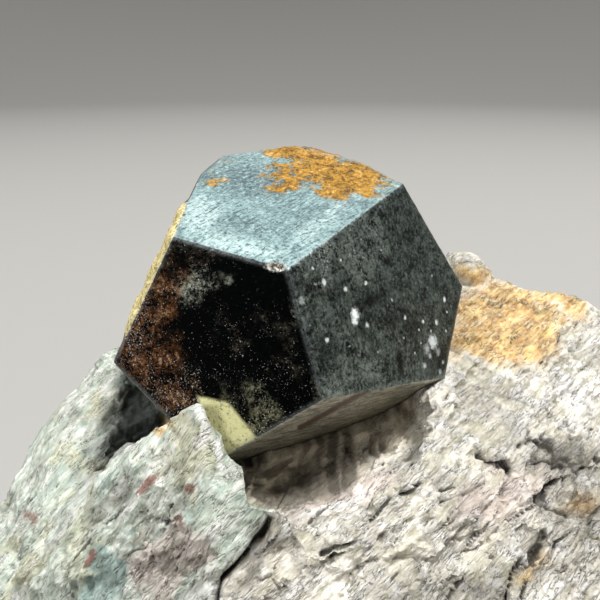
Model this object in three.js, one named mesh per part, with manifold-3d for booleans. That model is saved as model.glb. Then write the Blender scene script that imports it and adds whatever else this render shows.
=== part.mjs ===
// A single pyrite crystal on its piece of schist, in millimetres, +Z up.
// The crystal is a pyritohedron: twelve five-sided faces. It leans out of a socket in the rock.
// Everything is laid out around the crystal's centre, and the group is then set on its flat base.

import * as THREE from 'three';
import { ConvexGeometry } from 'three/addons/geometries/ConvexGeometry.js';
import { ImprovedNoise } from 'three/addons/math/ImprovedNoise.js';
import { TessellateModifier } from 'three/addons/modifiers/TessellateModifier.js';
import { mergeVertices } from 'three/addons/utils/BufferGeometryUtils.js';
import Module from 'manifold-3d';

const wasm = await Module();
wasm.setup();

// Crystal

const DEGREES = Math.PI / 180;
const CRYSTAL_TURN = new THREE.Euler(-148.03 * DEGREES, -25.84 * DEGREES, -142.15 * DEGREES, 'XYZ');
const CRYSTAL_FACES = [
  // index: the face's direction in the crystal's own axes; reach: its distance from the centre
  { name: 'top', index: [1, 0, -2], reach: 9.94 },
  { name: 'left front', index: [0, -2, -1], reach: 11.02, lean: [0.014, 0.006, -0.012] },
  { name: 'right front', index: [-1, 0, -2], reach: 9.57, lean: [-0.025, -0.024, 0.013] },
  { name: 'underside', index: [-2, -1, 0], reach: 8.78 },
  { name: 'left', index: [2, -1, 0], reach: 9.3 },
  { name: 'back right', index: [0, 2, -1], reach: 10.34 },
  { name: 'low left', index: [0, -2, 1], reach: 10.42 },
  { name: 'low right', index: [-2, 1, 0], reach: 10.49 },
  { name: 'top back', index: [2, 1, 0], reach: 9.75 },
  { name: 'back', index: [0, 2, 1], reach: 10 },
  { name: 'back left', index: [1, 0, 2], reach: 10 },
  { name: 'bottom', index: [-1, 0, 2], reach: 10 },
];
// Two top corners are broken off along small facets.
const BROKEN_CORNERS = [
  { normal: [-0.6, -0.03, 0.8], reach: 11.16 },
  { normal: [0.25, 0.16, 0.955], reach: 11.9 },
];
// The nick in the edge between the top and the left front face: an ellipsoid, turned about Y.
const CHIP_CENTRE = [-0.75, -10.25, 7.5];
const CHIP_HALF_SIZE = [1.05, 0.55, 0.34];
const CHIP_TURN = 4 * DEGREES;
const SOCKET_GAP = 0.3;

// Matrix rock

const BASE_Z = -28;
const SPACE_SIDE = 200;
const FINE_FACET = 2.35;
const COARSE_FACET = 4.2;
const FACET_PASSES = 14;
// The cleavage planes of the schist, and the way each layer breaks back from the one below it.
const CLEAVAGE = new THREE.Vector3(-0.52, 0.1, 0.85).normalize();
const LEDGE_SPACING = 4.4;
const LEDGE_DEPTH = 1.1;
const LEDGE_FACE_SHARE = 0.35;
const LEDGE_WANDER = { wave: 7, depth: 1.2 };
const LUMPS = [
  // wave: size of the lumps; depth: how far they stand out; shift: where in the noise they lie
  { wave: 9, depth: 0.8, shift: 5.3 },
  { wave: 3.6, depth: 0.5, shift: 10.6 },
];
// The peak in front of the crystal is sharp, so the rock is left calm around it.
const PEAK = new THREE.Vector3(-4.2, -11.5, 0.2);
const CALM_RADIUS = 10;
const CALM_LEAST = 0.12;

// Blocks of rock between cleavage cracks, each the hull of its corner points.
const BLOCKS = {
  rootSlab: {
    facet: COARSE_FACET,
    corners: [
      [-27, -9, -30], [-27, 6, -30], [-17, 15, -30], [6, 18, -30], [24, 15, -30], [31, 4, -30],
      [29, -12, -30], [16, -20, -30], [-4, -21, -30], [-18, -17, -30],
      [-25.5, -5, -21], [-22, 7, -15], [-14, 14, -12], [4, 17, -9], [23, 14, -9], [30.5, 2, -12],
      [27.5, -9, -16], [15, -17.5, -13], [-4, -18.5, -15], [-17, -13, -20],
    ],
  },
  leftLobe: {
    facet: FINE_FACET,
    corners: [
      [-14.2, 8.2, -5.2], [-16, 6.6, -6.6], [-18.3, 6, -9.3], [-21, 4.6, -12], [-22.3, 2.4, -15.6],
      [-25.5, 0.5, -19.5], [-27, -2, -25], [-17.5, 0, -9.9], [-13.5, 2, -7.6], [-14.5, -3.5, -12.5],
      [-19, -5, -17], [-10, 9.5, -5.8], [-9, 12.5, -8], [-15, 12, -13], [-21, 9, -17],
      [-8, 2, -12], [-8, 10, -22], [-22, 6, -29], [-10, -4, -22],
    ],
  },
  frontBlock: {
    facet: FINE_FACET,
    corners: [
      [-4.2, -11.5, 0.2], [-5.9, -11, -1.2], [-7.5, -10, -3.1], [-9.8, -8.3, -5.5],
      [-12.8, -6.3, -9.8], [-16.5, -4.2, -13.8], [-3.7, -12.8, -2], [-3.3, -14.5, -4],
      [-3, -16.2, -6.9], [-2.6, -12.6, -2.7], [-3, -16.6, -8.9], [-5, -16, -9.2],
      [-8, -14.9, -10.4], [-13, -12.7, -13],
      [-18.5, -9.6, -16.4], [-4.5, -7.5, -6.5], [-2, -8, -6], [-8, -7, -8], [-13, -4, -13],
      [-4, -20, -29], [-19, -15, -29], [2, -14, -26], [-12, -6, -24],
    ],
  },
  frontShoulder: {
    facet: FINE_FACET,
    corners: [
      [-2.6, -12.6, -2.7], [-3.3, -14.5, -4], [-3, -16.2, -6.9], [0.6, -14, -3.7],
      [1.1, -14.6, -4.8], [-0.4, -15.1, -6.5], [-3, -16.5, -8.8], [-4, -11.4, -6],
      [0.2, -12, -8], [-3, -18, -16], [1.5, -15.4, -15], [-4, -11, -15],
    ],
  },
  rightMass: {
    facet: FINE_FACET,
    corners: [
      [10.9, -4.3, -2.5], [8.6, -8.9, -3.6], [7, -11.4, -4.5], [4, -13.2, -5.6], [2.8, -14.8, -7.1],
      [0.6, -16.6, -9], [14, 6, -0.4], [17.6, 8.8, 0], [19.4, 8.4, -0.6], [22.8, 8.2, -1.2],
      [26.3, 6.9, -2], [30, 3, -5.5], [23.5, -1.3, -6.1], [20.5, -9, -8.6], [15.5, -13.2, -8.7],
      [12, -15.8, -9.7], [18, -15, -10.5], [24, -8, -11.5], [4, 12, -4], [12, 14, -3.5],
      [22, 13, -5], [29, 8, -9], [-3, 10, -9], [1, -20, -26], [15, -20, -26], [27, -10, -24],
      [28, 6, -26], [4, 16, -26], [-6, 8, -26], [0, -10, -12], [-2, -14.3, -7.6], [-1.6, -12.4, -5.6],
    ],
  },
  backShoulder: {
    facet: FINE_FACET,
    corners: [
      [-10, 10, -6.5], [-6, 8.5, -4], [-4, 13, -3.2], [3, 13.4, -1.6], [9, 12.4, -0.8],
      [13, 9, -1.2], [14, 13.5, -4], [5, 17, -8], [-6, 16.5, -9], [-13, 14, -11],
      [12, 15, -12], [2, 6, -9], [-4, 8, -14], [10, 6, -14],
    ],
  },
  knob: {
    facet: FINE_FACET,
    corners: [
      [13.3, 8.6, 1.5], [14, 9.6, 2.6], [15.3, 9.6, 2.6], [16.8, 9.2, 2.1], [17.9, 8.6, 0.8],
      [16.5, 6.8, -0.8], [13.2, 6, -1], [12.6, 9, -1.5], [15, 12.5, -1.6], [18, 11, -2.5],
      [15, 9, -4],
    ],
  },
};

// Hollows cut into the blocks: ellipsoids with centre, half sizes and a turn about Z in degrees.
const HOLLOWS = {
  underCrystal: { centre: [3.9, -9.5, -4.7], half: [7.2, 3.4, 2.8], turn: 38, detail: 4 },
  leftOfCrystal: { centre: [-10.4, -1.6, -5.4], half: [3.2, 6.4, 3.4], turn: -25, detail: 4 },
  crevice: { centre: [-0.4, -16.6, -7.4], half: [0.6, 3, 2.6], turn: -38, detail: 3 },
  pit: { centre: [13, -9.6, -5.4], half: [1.5, 0.8, 0.7], turn: 20, detail: 1 },
  ledgeCrack: { centre: [17.3, -9.3, -7], half: [2.6, 0.5, 0.7], turn: 28, detail: 1 },
  deepHole: { centre: [14.8, -13, -8.6], half: [0.9, 0.8, 0.9], turn: 40, detail: 1 },
};

const MATERIALS = {
  pyrite: new THREE.MeshStandardMaterial({ color: 0x3c4346, roughness: 0.32, metalness: 0.9 }),
  schist: new THREE.MeshStandardMaterial({ color: 0xc3beb0, roughness: 0.85, metalness: 0 }),
};

// Joins and cuts

// Corners closer than this are one corner, and planes this near to parallel don't meet.
const SAME_PLACE = 1e-5;
const NEARLY_FLAT = 1e-6;

function solidOf(geometry) {
  const bare = geometry.clone();
  bare.deleteAttribute('normal');
  bare.deleteAttribute('uv');
  const merged = mergeVertices(bare, SAME_PLACE);
  return new wasm.Manifold(new wasm.Mesh({
    numProp: 3,
    vertProperties: new Float32Array(merged.attributes.position.array),
    triVerts: new Uint32Array(merged.index.array),
  }));
}

function geometryOf(solid) {
  const mesh = solid.getMesh();
  const geometry = new THREE.BufferGeometry();
  geometry.setAttribute('position', new THREE.BufferAttribute(mesh.vertProperties, mesh.numProp));
  geometry.setIndex(new THREE.BufferAttribute(mesh.triVerts, 1));
  geometry.computeVertexNormals();
  return geometry;
}

// Crystal: the space inside all of its face planes

function crystalPlanes(extraReach) {
  const turn = new THREE.Quaternion().setFromEuler(CRYSTAL_TURN);
  const faces = CRYSTAL_FACES.map(({ index, reach, lean = [0, 0, 0] }) => {
    const normal = new THREE.Vector3(...index).normalize().add(new THREE.Vector3(...lean));
    return { normal: normal.normalize().applyQuaternion(turn), reach: reach + extraReach };
  });
  const corners = BROKEN_CORNERS.map(({ normal, reach }) => (
    { normal: new THREE.Vector3(...normal).normalize(), reach: reach + extraReach }
  ));
  return [...faces, ...corners];
}

// Where three planes meet, or null where they don't meet in one point.
function meetingPoint(a, b, c) {
  const bc = b.normal.clone().cross(c.normal);
  const ca = c.normal.clone().cross(a.normal);
  const ab = a.normal.clone().cross(b.normal);
  const volume = a.normal.dot(bc);
  if (Math.abs(volume) < NEARLY_FLAT) {
    return null;
  }
  bc.multiplyScalar(a.reach);
  ca.multiplyScalar(b.reach);
  ab.multiplyScalar(c.reach);
  return bc.add(ca).add(ab).divideScalar(volume);
}

function hullOfPlanes(planes) {
  const corners = [];
  for (let i = 0; i < planes.length; i += 1) {
    for (let j = i + 1; j < planes.length; j += 1) {
      for (let k = j + 1; k < planes.length; k += 1) {
        const point = meetingPoint(planes[i], planes[j], planes[k]);
        const inside = point && planes.every(({ normal, reach }) => (
          normal.dot(point) < reach + SAME_PLACE
        ));
        if (inside) {
          corners.push(point);
        }
      }
    }
  }
  return new ConvexGeometry(corners);
}

function chipGeometry() {
  const geometry = new THREE.IcosahedronGeometry(1, 1);
  geometry.scale(...CHIP_HALF_SIZE);
  geometry.rotateY(CHIP_TURN);
  geometry.translate(...CHIP_CENTRE);
  return geometry;
}

// Rock: blocks and hollows, all bent by one warp of space so that they still fit each other

const noise = new ImprovedNoise();

function noiseVector(point, wave, shift) {
  const [x, y, z] = [point.x / wave + shift, point.y / wave - shift, point.z / wave];
  return new THREE.Vector3(noise.noise(x, y, z), noise.noise(y, z, x), noise.noise(z, x, y));
}

// How far a layer has slipped back along its cleavage plane: a slow rise, then the ledge's face.
function ledgeShift(point) {
  const { wave, depth } = LEDGE_WANDER;
  const wander = depth * noise.noise(point.x / wave, point.y / wave, point.z / wave);
  const layer = (CLEAVAGE.dot(point) + wander) / LEDGE_SPACING;
  const share = layer - Math.floor(layer);
  const rise = share / (1 - LEDGE_FACE_SHARE);
  const fall = (1 - share) / LEDGE_FACE_SHARE;
  return LEDGE_DEPTH * (Math.min(rise, fall) - 0.5);
}

function warp(point) {
  const outward = new THREE.Vector3(point.x, point.y, 0).normalize();
  const slip = outward.addScaledVector(CLEAVAGE, -outward.dot(CLEAVAGE));
  const bend = slip.multiplyScalar(-ledgeShift(point));
  LUMPS.forEach(({ wave, depth, shift }) => {
    bend.addScaledVector(noiseVector(point, wave, shift), depth);
  });
  const calm = THREE.MathUtils.clamp(point.distanceTo(PEAK) / CALM_RADIUS, CALM_LEAST, 1);
  return point.clone().addScaledVector(bend, calm);
}

function warped(geometry, facet) {
  const fine = new TessellateModifier(facet, FACET_PASSES).modify(geometry);
  const position = fine.attributes.position;
  for (let i = 0; i < position.count; i += 1) {
    const point = new THREE.Vector3().fromBufferAttribute(position, i);
    position.setXYZ(i, ...warp(point).toArray());
  }
  return fine;
}

function blockSolid({ facet, corners }) {
  const hull = new ConvexGeometry(corners.map((corner) => new THREE.Vector3(...corner)));
  return solidOf(warped(hull, facet));
}

function hollowSolid({ centre, half, turn, detail }) {
  const geometry = new THREE.IcosahedronGeometry(1, detail);
  geometry.scale(...half);
  geometry.rotateZ(turn * DEGREES);
  geometry.translate(...centre);
  return solidOf(warped(geometry, FINE_FACET));
}

// A block of space above the base plane, wider than the rock, which the rock is cut off with.
function spaceAboveBase() {
  const geometry = new THREE.BoxGeometry(SPACE_SIDE, SPACE_SIDE, SPACE_SIDE);
  geometry.translate(0, 0, BASE_Z + SPACE_SIDE / 2);
  return geometry;
}

const crystalSolid = solidOf(hullOfPlanes(crystalPlanes(0))).subtract(solidOf(chipGeometry()));
const socketSolid = solidOf(hullOfPlanes(crystalPlanes(SOCKET_GAP)));
const joinedBlocks = Object.values(BLOCKS).map(blockSolid).reduce((all, block) => all.add(block));
const carvedBlocks = Object.values(HOLLOWS).map(hollowSolid).reduce(
  (all, hollow) => all.subtract(hollow),
  joinedBlocks,
);
const rockSolid = carvedBlocks.intersect(solidOf(spaceAboveBase())).subtract(socketSolid);

const crystal = new THREE.Mesh(geometryOf(crystalSolid), MATERIALS.pyrite);
crystal.name = 'pyrite_crystal';

const rock = new THREE.Mesh(geometryOf(rockSolid), MATERIALS.schist);
rock.name = 'schist_matrix';

const group = new THREE.Group();
group.add(crystal, rock);

// The origin is the middle of the whole specimen's box, on the base plane.
const box = new THREE.Box3().setFromObject(group);
const middle = box.getCenter(new THREE.Vector3());
group.position.set(-middle.x, -middle.y, -box.min.z);

export default group;
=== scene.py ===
"""Pyrite crystal on its piece of schist: the looks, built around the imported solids.

Places and sizes are in millimetres around the crystal's centre where no name or comment says otherwise.
A mark that the photograph shows is placed by its pixels there, seen from the photograph's own view.
"""

import logging
import math
from dataclasses import dataclass
from enum import Enum
from itertools import combinations
from typing import Optional, Sequence, Union

import bpy
import numpy as np
from mathutils import Matrix, Vector


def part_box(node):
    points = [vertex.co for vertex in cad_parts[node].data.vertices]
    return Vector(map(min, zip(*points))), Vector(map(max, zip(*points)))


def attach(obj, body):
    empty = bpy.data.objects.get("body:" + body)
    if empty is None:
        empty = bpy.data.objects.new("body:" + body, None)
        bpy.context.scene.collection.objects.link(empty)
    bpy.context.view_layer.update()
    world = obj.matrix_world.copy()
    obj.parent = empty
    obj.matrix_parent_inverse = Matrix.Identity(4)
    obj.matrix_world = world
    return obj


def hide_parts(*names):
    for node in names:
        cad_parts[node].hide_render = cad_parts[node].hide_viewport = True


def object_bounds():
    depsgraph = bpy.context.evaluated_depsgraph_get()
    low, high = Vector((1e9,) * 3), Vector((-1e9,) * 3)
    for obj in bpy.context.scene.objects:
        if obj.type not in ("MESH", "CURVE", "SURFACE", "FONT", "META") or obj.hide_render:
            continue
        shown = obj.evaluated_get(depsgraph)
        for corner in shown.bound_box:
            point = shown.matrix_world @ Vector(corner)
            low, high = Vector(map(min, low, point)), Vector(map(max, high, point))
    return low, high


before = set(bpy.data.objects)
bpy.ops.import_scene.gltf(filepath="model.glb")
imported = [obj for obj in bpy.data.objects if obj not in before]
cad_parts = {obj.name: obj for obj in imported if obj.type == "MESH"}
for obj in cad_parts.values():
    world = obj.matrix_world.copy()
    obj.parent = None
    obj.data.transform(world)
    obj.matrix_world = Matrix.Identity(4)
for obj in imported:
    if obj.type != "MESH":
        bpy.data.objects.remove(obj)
CAD_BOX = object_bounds()

LOG = logging.getLogger("pyrite_on_matrix")
MM = 0.001
ROOT = "root"

Triple = tuple[float, float, float]
Pixel = tuple[float, float]
Axes = tuple[np.ndarray, np.ndarray, np.ndarray]
Value = Union[bpy.types.NodeSocket, float]
Tone = Union[bpy.types.NodeSocket, str]


# Patterns that both pieces share

WORD = 0xFFFFFFFF
CELL_PRIMES = (73856093, 19349663, 83492791)
SEED_PRIME = 2654435761
MIX_STEPS = ((15, 2246822519), (13, 3266489917))
LAST_SHIFT = 16
FLAKE_SCATTER = 0.45
FLAKE_STEP = 0.6
FLAKE_TILT = 0.8


def lattice_value(cells: np.ndarray, seed: int) -> np.ndarray:
    """Gives each whole-number cell a fixed value from -1 to 1.

    Args:
        cells: Whole-number cell places, shape (n, 3).
        seed: Which of the possible sets of values.

    Returns:
        One value a cell.
    """
    mixed = np.bitwise_xor.reduce(cells * np.array(CELL_PRIMES), axis=1)
    mixed = (mixed + seed * SEED_PRIME) & WORD
    for shift, prime in MIX_STEPS:
        mixed = ((mixed ^ (mixed >> shift)) * prime) & WORD
    mixed = mixed ^ (mixed >> LAST_SHIFT)
    return mixed / (WORD >> 1) - 1.0


def smooth_noise(points: np.ndarray, seed: int) -> np.ndarray:
    """Makes value noise with a period of one unit, from about -1 to 1.

    Args:
        points: Places, shape (n, 3).
        seed: Which noise.

    Returns:
        One value a place.
    """
    base = np.floor(points).astype(np.int64)
    part = points - base
    ease = part * part * part * (part * (part * 6 - 15) + 10)
    total = np.zeros(len(points))
    for corner in np.ndindex(2, 2, 2):
        weight = np.prod(np.where(np.array(corner) == 1, ease, 1 - ease), axis=1)
        total += weight * lattice_value(base + np.array(corner), seed)
    return total


def layered_noise(points: np.ndarray, seed: int, layers: int) -> np.ndarray:
    """Adds noise of halving size and height, from about -1 to 1.

    Args:
        points: Places, shape (n, 3).
        seed: Which noise.
        layers: How many sizes are added.

    Returns:
        One value a place.
    """
    parts = [0.5 ** layer * smooth_noise(points * 2 ** layer, seed + layer) for layer in range(layers)]
    return 0.65 * np.sum(parts, axis=0)


def ridges(points: np.ndarray, seed: int, layers: int) -> np.ndarray:
    """Adds noise folded into sharp crests, from about -1 to 1.

    Args:
        points: Places, shape (n, 3).
        seed: Which noise.
        layers: How many sizes are added.

    Returns:
        One value a place.
    """
    parts = [0.5 ** layer * (1 - 2.6 * np.abs(smooth_noise(points * 2 ** layer, seed + layer)))
             for layer in range(layers)]
    return 0.5 * np.sum(parts, axis=0)


def flake_heights(points: np.ndarray, seed: int) -> np.ndarray:
    """Works out the height of flat, tilted flakes that meet along sharp edges.

    Args:
        points: Places in flake sizes, shape (n, 3).
        seed: Which scatter of flakes.

    Returns:
        One height a place, from about -1 to 1.
    """
    base = np.floor(points).astype(np.int64)
    nearest = np.full(len(points), np.inf)
    height = np.zeros(len(points))
    for offset in np.ndindex(3, 3, 3):
        cell = base + np.array(offset) - 1
        shift = np.stack([lattice_value(cell, seed + axis) for axis in range(3)], axis=1)
        lean = np.stack([lattice_value(cell, seed + 3 + axis) for axis in range(3)], axis=1)
        away = points - (cell + 0.5 + FLAKE_SCATTER * shift)
        gap = np.linalg.norm(away, axis=1)
        value = FLAKE_STEP * lattice_value(cell, seed + 6) + FLAKE_TILT * np.sum(away * lean, axis=1)
        height = np.where(gap < nearest, value, height)
        nearest = np.minimum(nearest, gap)
    return height


def soft_step(values: np.ndarray, low: float, high: float) -> np.ndarray:
    """Rises smoothly from zero at low to one at high."""
    share = np.clip((values - low) / (high - low), 0, 1)
    return share * share * (3 - 2 * share)


def stray(points: np.ndarray, reach: float, size: float) -> np.ndarray:
    """Moves places a little, so that an area measured from them has a ragged outline.

    Args:
        points: Places, shape (n, 3).
        reach: How far they stray.
        size: How large the bulges of the outline are.

    Returns:
        The moved places.
    """
    shifts = [layered_noise(points / size, 101 + 7 * axis, 4) for axis in range(3)]
    return points + reach * np.stack(shifts, axis=1)


def unit(vectors: np.ndarray) -> np.ndarray:
    """Returns vectors of length one in the same directions."""
    return vectors / np.linalg.norm(vectors, axis=-1, keepdims=True)


def plane_axes(normal: np.ndarray, along: Sequence[float]) -> Axes:
    """Builds three unit directions: along within the plane, across it, and its normal.

    Args:
        normal: The plane's unit normal.
        along: A direction that is brought into the plane.

    Returns:
        The directions along, across and normal.
    """
    flat = unit(np.array(along) - normal * (np.array(along) @ normal))
    return flat, np.cross(normal, flat), normal


# The photograph's view


@dataclass(frozen=True)
class PhotoView:
    """The camera that took the photograph."""

    place: Triple = (1.346, -39.349, 17.234)
    pitch_degrees: float = 22.0
    focal_px: float = 600.0
    size_px: float = 600.0

    def axes(self) -> Axes:
        """Returns the picture's right, up and forward directions."""
        pitch = math.radians(self.pitch_degrees)
        up = np.array([0.0, math.sin(pitch), math.cos(pitch)])
        return np.array([1.0, 0.0, 0.0]), up, np.array([0.0, math.cos(pitch), -math.sin(pitch)])

    def pixels(self, points: np.ndarray) -> tuple[np.ndarray, np.ndarray, np.ndarray]:
        """Projects places into the picture.

        Args:
            points: Places, shape (n, 3).

        Returns:
            Pixel columns, pixel rows and depths.
        """
        right, up, forward = self.axes()
        local = points - np.array(self.place)
        depth = local @ forward
        column = self.size_px / 2 + self.focal_px * (local @ right) / depth
        row = self.size_px / 2 - self.focal_px * (local @ up) / depth
        return column, row, depth

    def on_plane(self, pixel: Pixel, normal: np.ndarray, reach: float) -> np.ndarray:
        """Finds where a pixel's line of sight meets a plane.

        Args:
            pixel: The pixel's column and row.
            normal: The plane's unit normal.
            reach: The plane's distance from the crystal's centre.

        Returns:
            The place.
        """
        right, up, forward = self.axes()
        across, down = ((part - self.size_px / 2) / self.focal_px for part in pixel)
        ray = across * right - down * up + forward
        start = np.array(self.place)
        return start + ray * (reach - start @ normal) / (ray @ normal)

    def facing(self, points: np.ndarray, normals: np.ndarray) -> np.ndarray:
        """Returns one for places that look straight at the camera, and -1 for those that look away."""
        return np.sum(unit(np.array(self.place) - points) * normals, axis=1)

    def shown(self, points: np.ndarray, normals: np.ndarray) -> np.ndarray:
        """Tells how well the photograph shows each place of the rock.

        Args:
            points: Places, shape (n, 3).
            normals: Their unit normals.

        Returns:
            One where a place faces the camera inside the picture, zero where it doesn't.
        """
        column, row, depth = self.pixels(points)
        inside = 1 - soft_step(depth, 54, 60)
        for outside in (-column, column - self.size_px, row - self.size_px):
            inside *= 1 - soft_step(outside, 10, 60)
        return inside * soft_step(self.facing(points, normals), -0.15, 0.15)


VIEW = PhotoView()


# Crystal form


class Side(Enum):
    """The crystal's faces, as the photograph shows them, and its two broken corners."""

    TOP = "top"
    LEFT_FRONT = "left_front"
    RIGHT_FRONT = "right_front"
    UNDERSIDE = "underside"
    LEFT = "left"
    BACK_RIGHT = "back_right"
    LOW_LEFT = "low_left"
    LOW_RIGHT = "low_right"
    TOP_BACK = "top_back"
    BACK = "back"
    BACK_LEFT = "back_left"
    BOTTOM = "bottom"
    BROKEN_LEFT = "broken_left"
    BROKEN_TOP = "broken_top"


@dataclass(frozen=True)
class Face:
    """One crystal face: its direction in crystal axes, its distance and how much it leans."""

    side: Side
    index: Triple
    reach: float
    lean: Triple = (0.0, 0.0, 0.0)


@dataclass(frozen=True)
class BrokenCorner:
    """A flat break: its direction in the specimen's axes and its distance."""

    side: Side
    direction: Triple
    reach: float


FACES = (
    Face(Side.TOP, (1, 0, -2), 9.94),
    Face(Side.LEFT_FRONT, (0, -2, -1), 11.02, (0.014, 0.006, -0.012)),
    Face(Side.RIGHT_FRONT, (-1, 0, -2), 9.57, (-0.025, -0.024, 0.013)),
    Face(Side.UNDERSIDE, (-2, -1, 0), 8.78),
    Face(Side.LEFT, (2, -1, 0), 9.3),
    Face(Side.BACK_RIGHT, (0, 2, -1), 10.34),
    Face(Side.LOW_LEFT, (0, -2, 1), 10.42),
    Face(Side.LOW_RIGHT, (-2, 1, 0), 10.49),
    Face(Side.TOP_BACK, (2, 1, 0), 9.75),
    Face(Side.BACK, (0, 2, 1), 10.0),
    Face(Side.BACK_LEFT, (1, 0, 2), 10.0),
    Face(Side.BOTTOM, (-1, 0, 2), 10.0),
)
BROKEN_CORNERS = (
    BrokenCorner(Side.BROKEN_LEFT, (-0.6, -0.03, 0.8), 11.16),
    BrokenCorner(Side.BROKEN_TOP, (0.25, 0.16, 0.955), 11.9),
)
CRYSTAL_TURN_DEGREES = (("X", -148.03), ("Y", -25.84), ("Z", -142.15))
TINY = 1e-6
ON_FACE = 0.45


class CrystalPlanes:
    """The crystal's face planes as arrays."""

    def __init__(self) -> None:
        """Turns every face direction from crystal axes into the specimen's axes."""
        turn = Matrix.Identity(3)
        for axis, degrees in CRYSTAL_TURN_DEGREES:
            turn = turn @ Matrix.Rotation(math.radians(degrees), 3, axis)
        leaning = [Vector(face.index).normalized() + Vector(face.lean) for face in FACES]
        normals = [turn @ normal.normalized() for normal in leaning]
        normals += [Vector(corner.direction).normalized() for corner in BROKEN_CORNERS]
        self.sides = [part.side for part in FACES + BROKEN_CORNERS]
        self.normals = np.array([list(normal) for normal in normals])
        self.reaches = np.array([part.reach for part in FACES + BROKEN_CORNERS])

    def plane(self, side: Side) -> tuple[np.ndarray, float]:
        """Returns a face's unit normal and reach."""
        order = self.sides.index(side)
        return self.normals[order], float(self.reaches[order])

    def heights(self, points: np.ndarray) -> np.ndarray:
        """Returns how far each place stands out of each face plane, shape (n, faces)."""
        return points @ self.normals.T - self.reaches

    def owned(self, points: np.ndarray, sides: Sequence[Side]) -> np.ndarray:
        """Returns one for places whose nearest face is among the sides, and zero for others."""
        nearest = np.argmax(self.heights(points), axis=1)
        return np.isin(nearest, [self.sides.index(side) for side in sides]).astype(float)

    def touching(self, points: np.ndarray, side: Side) -> np.ndarray:
        """Returns one for places on or close to a face's plane, and zero for others."""
        normal, reach = self.plane(side)
        return (np.abs(points @ normal - reach) < ON_FACE).astype(float)

    def corners(self) -> np.ndarray:
        """Returns the crystal's corner points, where three faces meet, shape (n, 3)."""
        found = []
        for trio in combinations(range(len(self.sides)), 3):
            rows = self.normals[list(trio)]
            if abs(np.linalg.det(rows)) > TINY:
                point = np.linalg.solve(rows, self.reaches[list(trio)])
                if np.all(self.normals @ point <= self.reaches + TINY):
                    found.append(point)
        return np.array(found)


PLANES = CrystalPlanes()
# The crystal's centre in the frame, in metres, from the box of its node.
CENTRE = np.array(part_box("pyrite_crystal")[0]) - PLANES.corners().min(axis=0) * MM


def to_local(points: np.ndarray) -> np.ndarray:
    """Turns places in metres into millimetres around the crystal's centre."""
    return (points - CENTRE) / MM


def to_frame(points: np.ndarray) -> np.ndarray:
    """Turns millimetres around the crystal's centre into metres in the frame."""
    return points * MM + CENTRE


# Marks that the photograph shows


@dataclass(frozen=True)
class Area:
    """An ellipse of the photograph: its pixel, its half sizes in pixels and its clockwise turn in degrees.

    A sharp area has a clean outline, others a ragged one. An area with a side lies on that face alone.
    """

    column: float
    row: float
    half_along: float
    half_across: float
    turn: float = 0.0
    weight: float = 1.0
    sharp: bool = False
    side: Optional[Side] = None

    def depth(self, column: np.ndarray, row: np.ndarray) -> np.ndarray:
        """Measures how deep pixels lie in the ellipse.

        Args:
            column: Pixel columns.
            row: Pixel rows.

        Returns:
            The area's weight in the middle, zero on the rim and less outside.
        """
        turn = math.radians(self.turn)
        right, down = column - self.column, row - self.row
        along = (right * math.cos(turn) + down * math.sin(turn)) / self.half_along
        across = (down * math.cos(turn) - right * math.sin(turn)) / self.half_across
        return self.weight * (1 - np.hypot(along, across))


@dataclass(frozen=True)
class Paint:
    """A mark that the mesh keeps as a number from zero to one, for shapes and materials to read.

    It rises from zero to one between two depths in its areas. It may lie on one face alone, or only
    behind a range of places along Y. A firm one stays full strength up to where the rock turns away.
    """

    name: str
    low: float
    high: float
    areas: tuple[Area, ...]
    side: Optional[Side] = None
    behind: Optional[tuple[float, float]] = None
    firm: bool = False

    def cover(self, points: np.ndarray, strayed: np.ndarray) -> np.ndarray:
        """Works out where the mark lies.

        Args:
            points: Places, shape (n, 3).
            strayed: The same places moved a little, for ragged outlines.

        Returns:
            One number a place, from zero to one.
        """
        depths = []
        for area in self.areas:
            column, row, _depth = VIEW.pixels(points if area.sharp else strayed)
            depth = area.depth(column, row)
            depths.append(depth * PLANES.touching(points, area.side) if area.side else depth)
        cover = soft_step(np.maximum.reduce(depths), self.low, self.high)
        if self.side:
            cover *= PLANES.touching(points, self.side)
        if self.behind:
            cover *= soft_step(points[:, 1], *self.behind)
        return cover


def from_line(points: np.ndarray, line: Sequence[Pixel]) -> tuple[np.ndarray, np.ndarray]:
    """Measures how far places lie from a line of pixels in the photograph.

    Args:
        points: Places, shape (n, 3).
        line: The line's pixels in order.

    Returns:
        The distance in pixels, and a number above zero on the line's right-hand side.
    """
    column, row, _depth = VIEW.pixels(points)
    nearest = np.full(len(points), np.inf)
    side = np.zeros(len(points))
    for (x0, y0), (x1, y1) in zip(line, line[1:]):
        length = math.hypot(x1 - x0, y1 - y0)
        along = ((column - x0) * (x1 - x0) + (row - y0) * (y1 - y0)) / length
        across = ((row - y0) * (x1 - x0) - (column - x0) * (y1 - y0)) / length
        past = np.maximum(np.maximum(-along, along - length), 0)
        gap = np.hypot(across, past)
        side = np.where(gap < nearest, across, side)
        nearest = np.minimum(nearest, gap)
    return nearest, side


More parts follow.
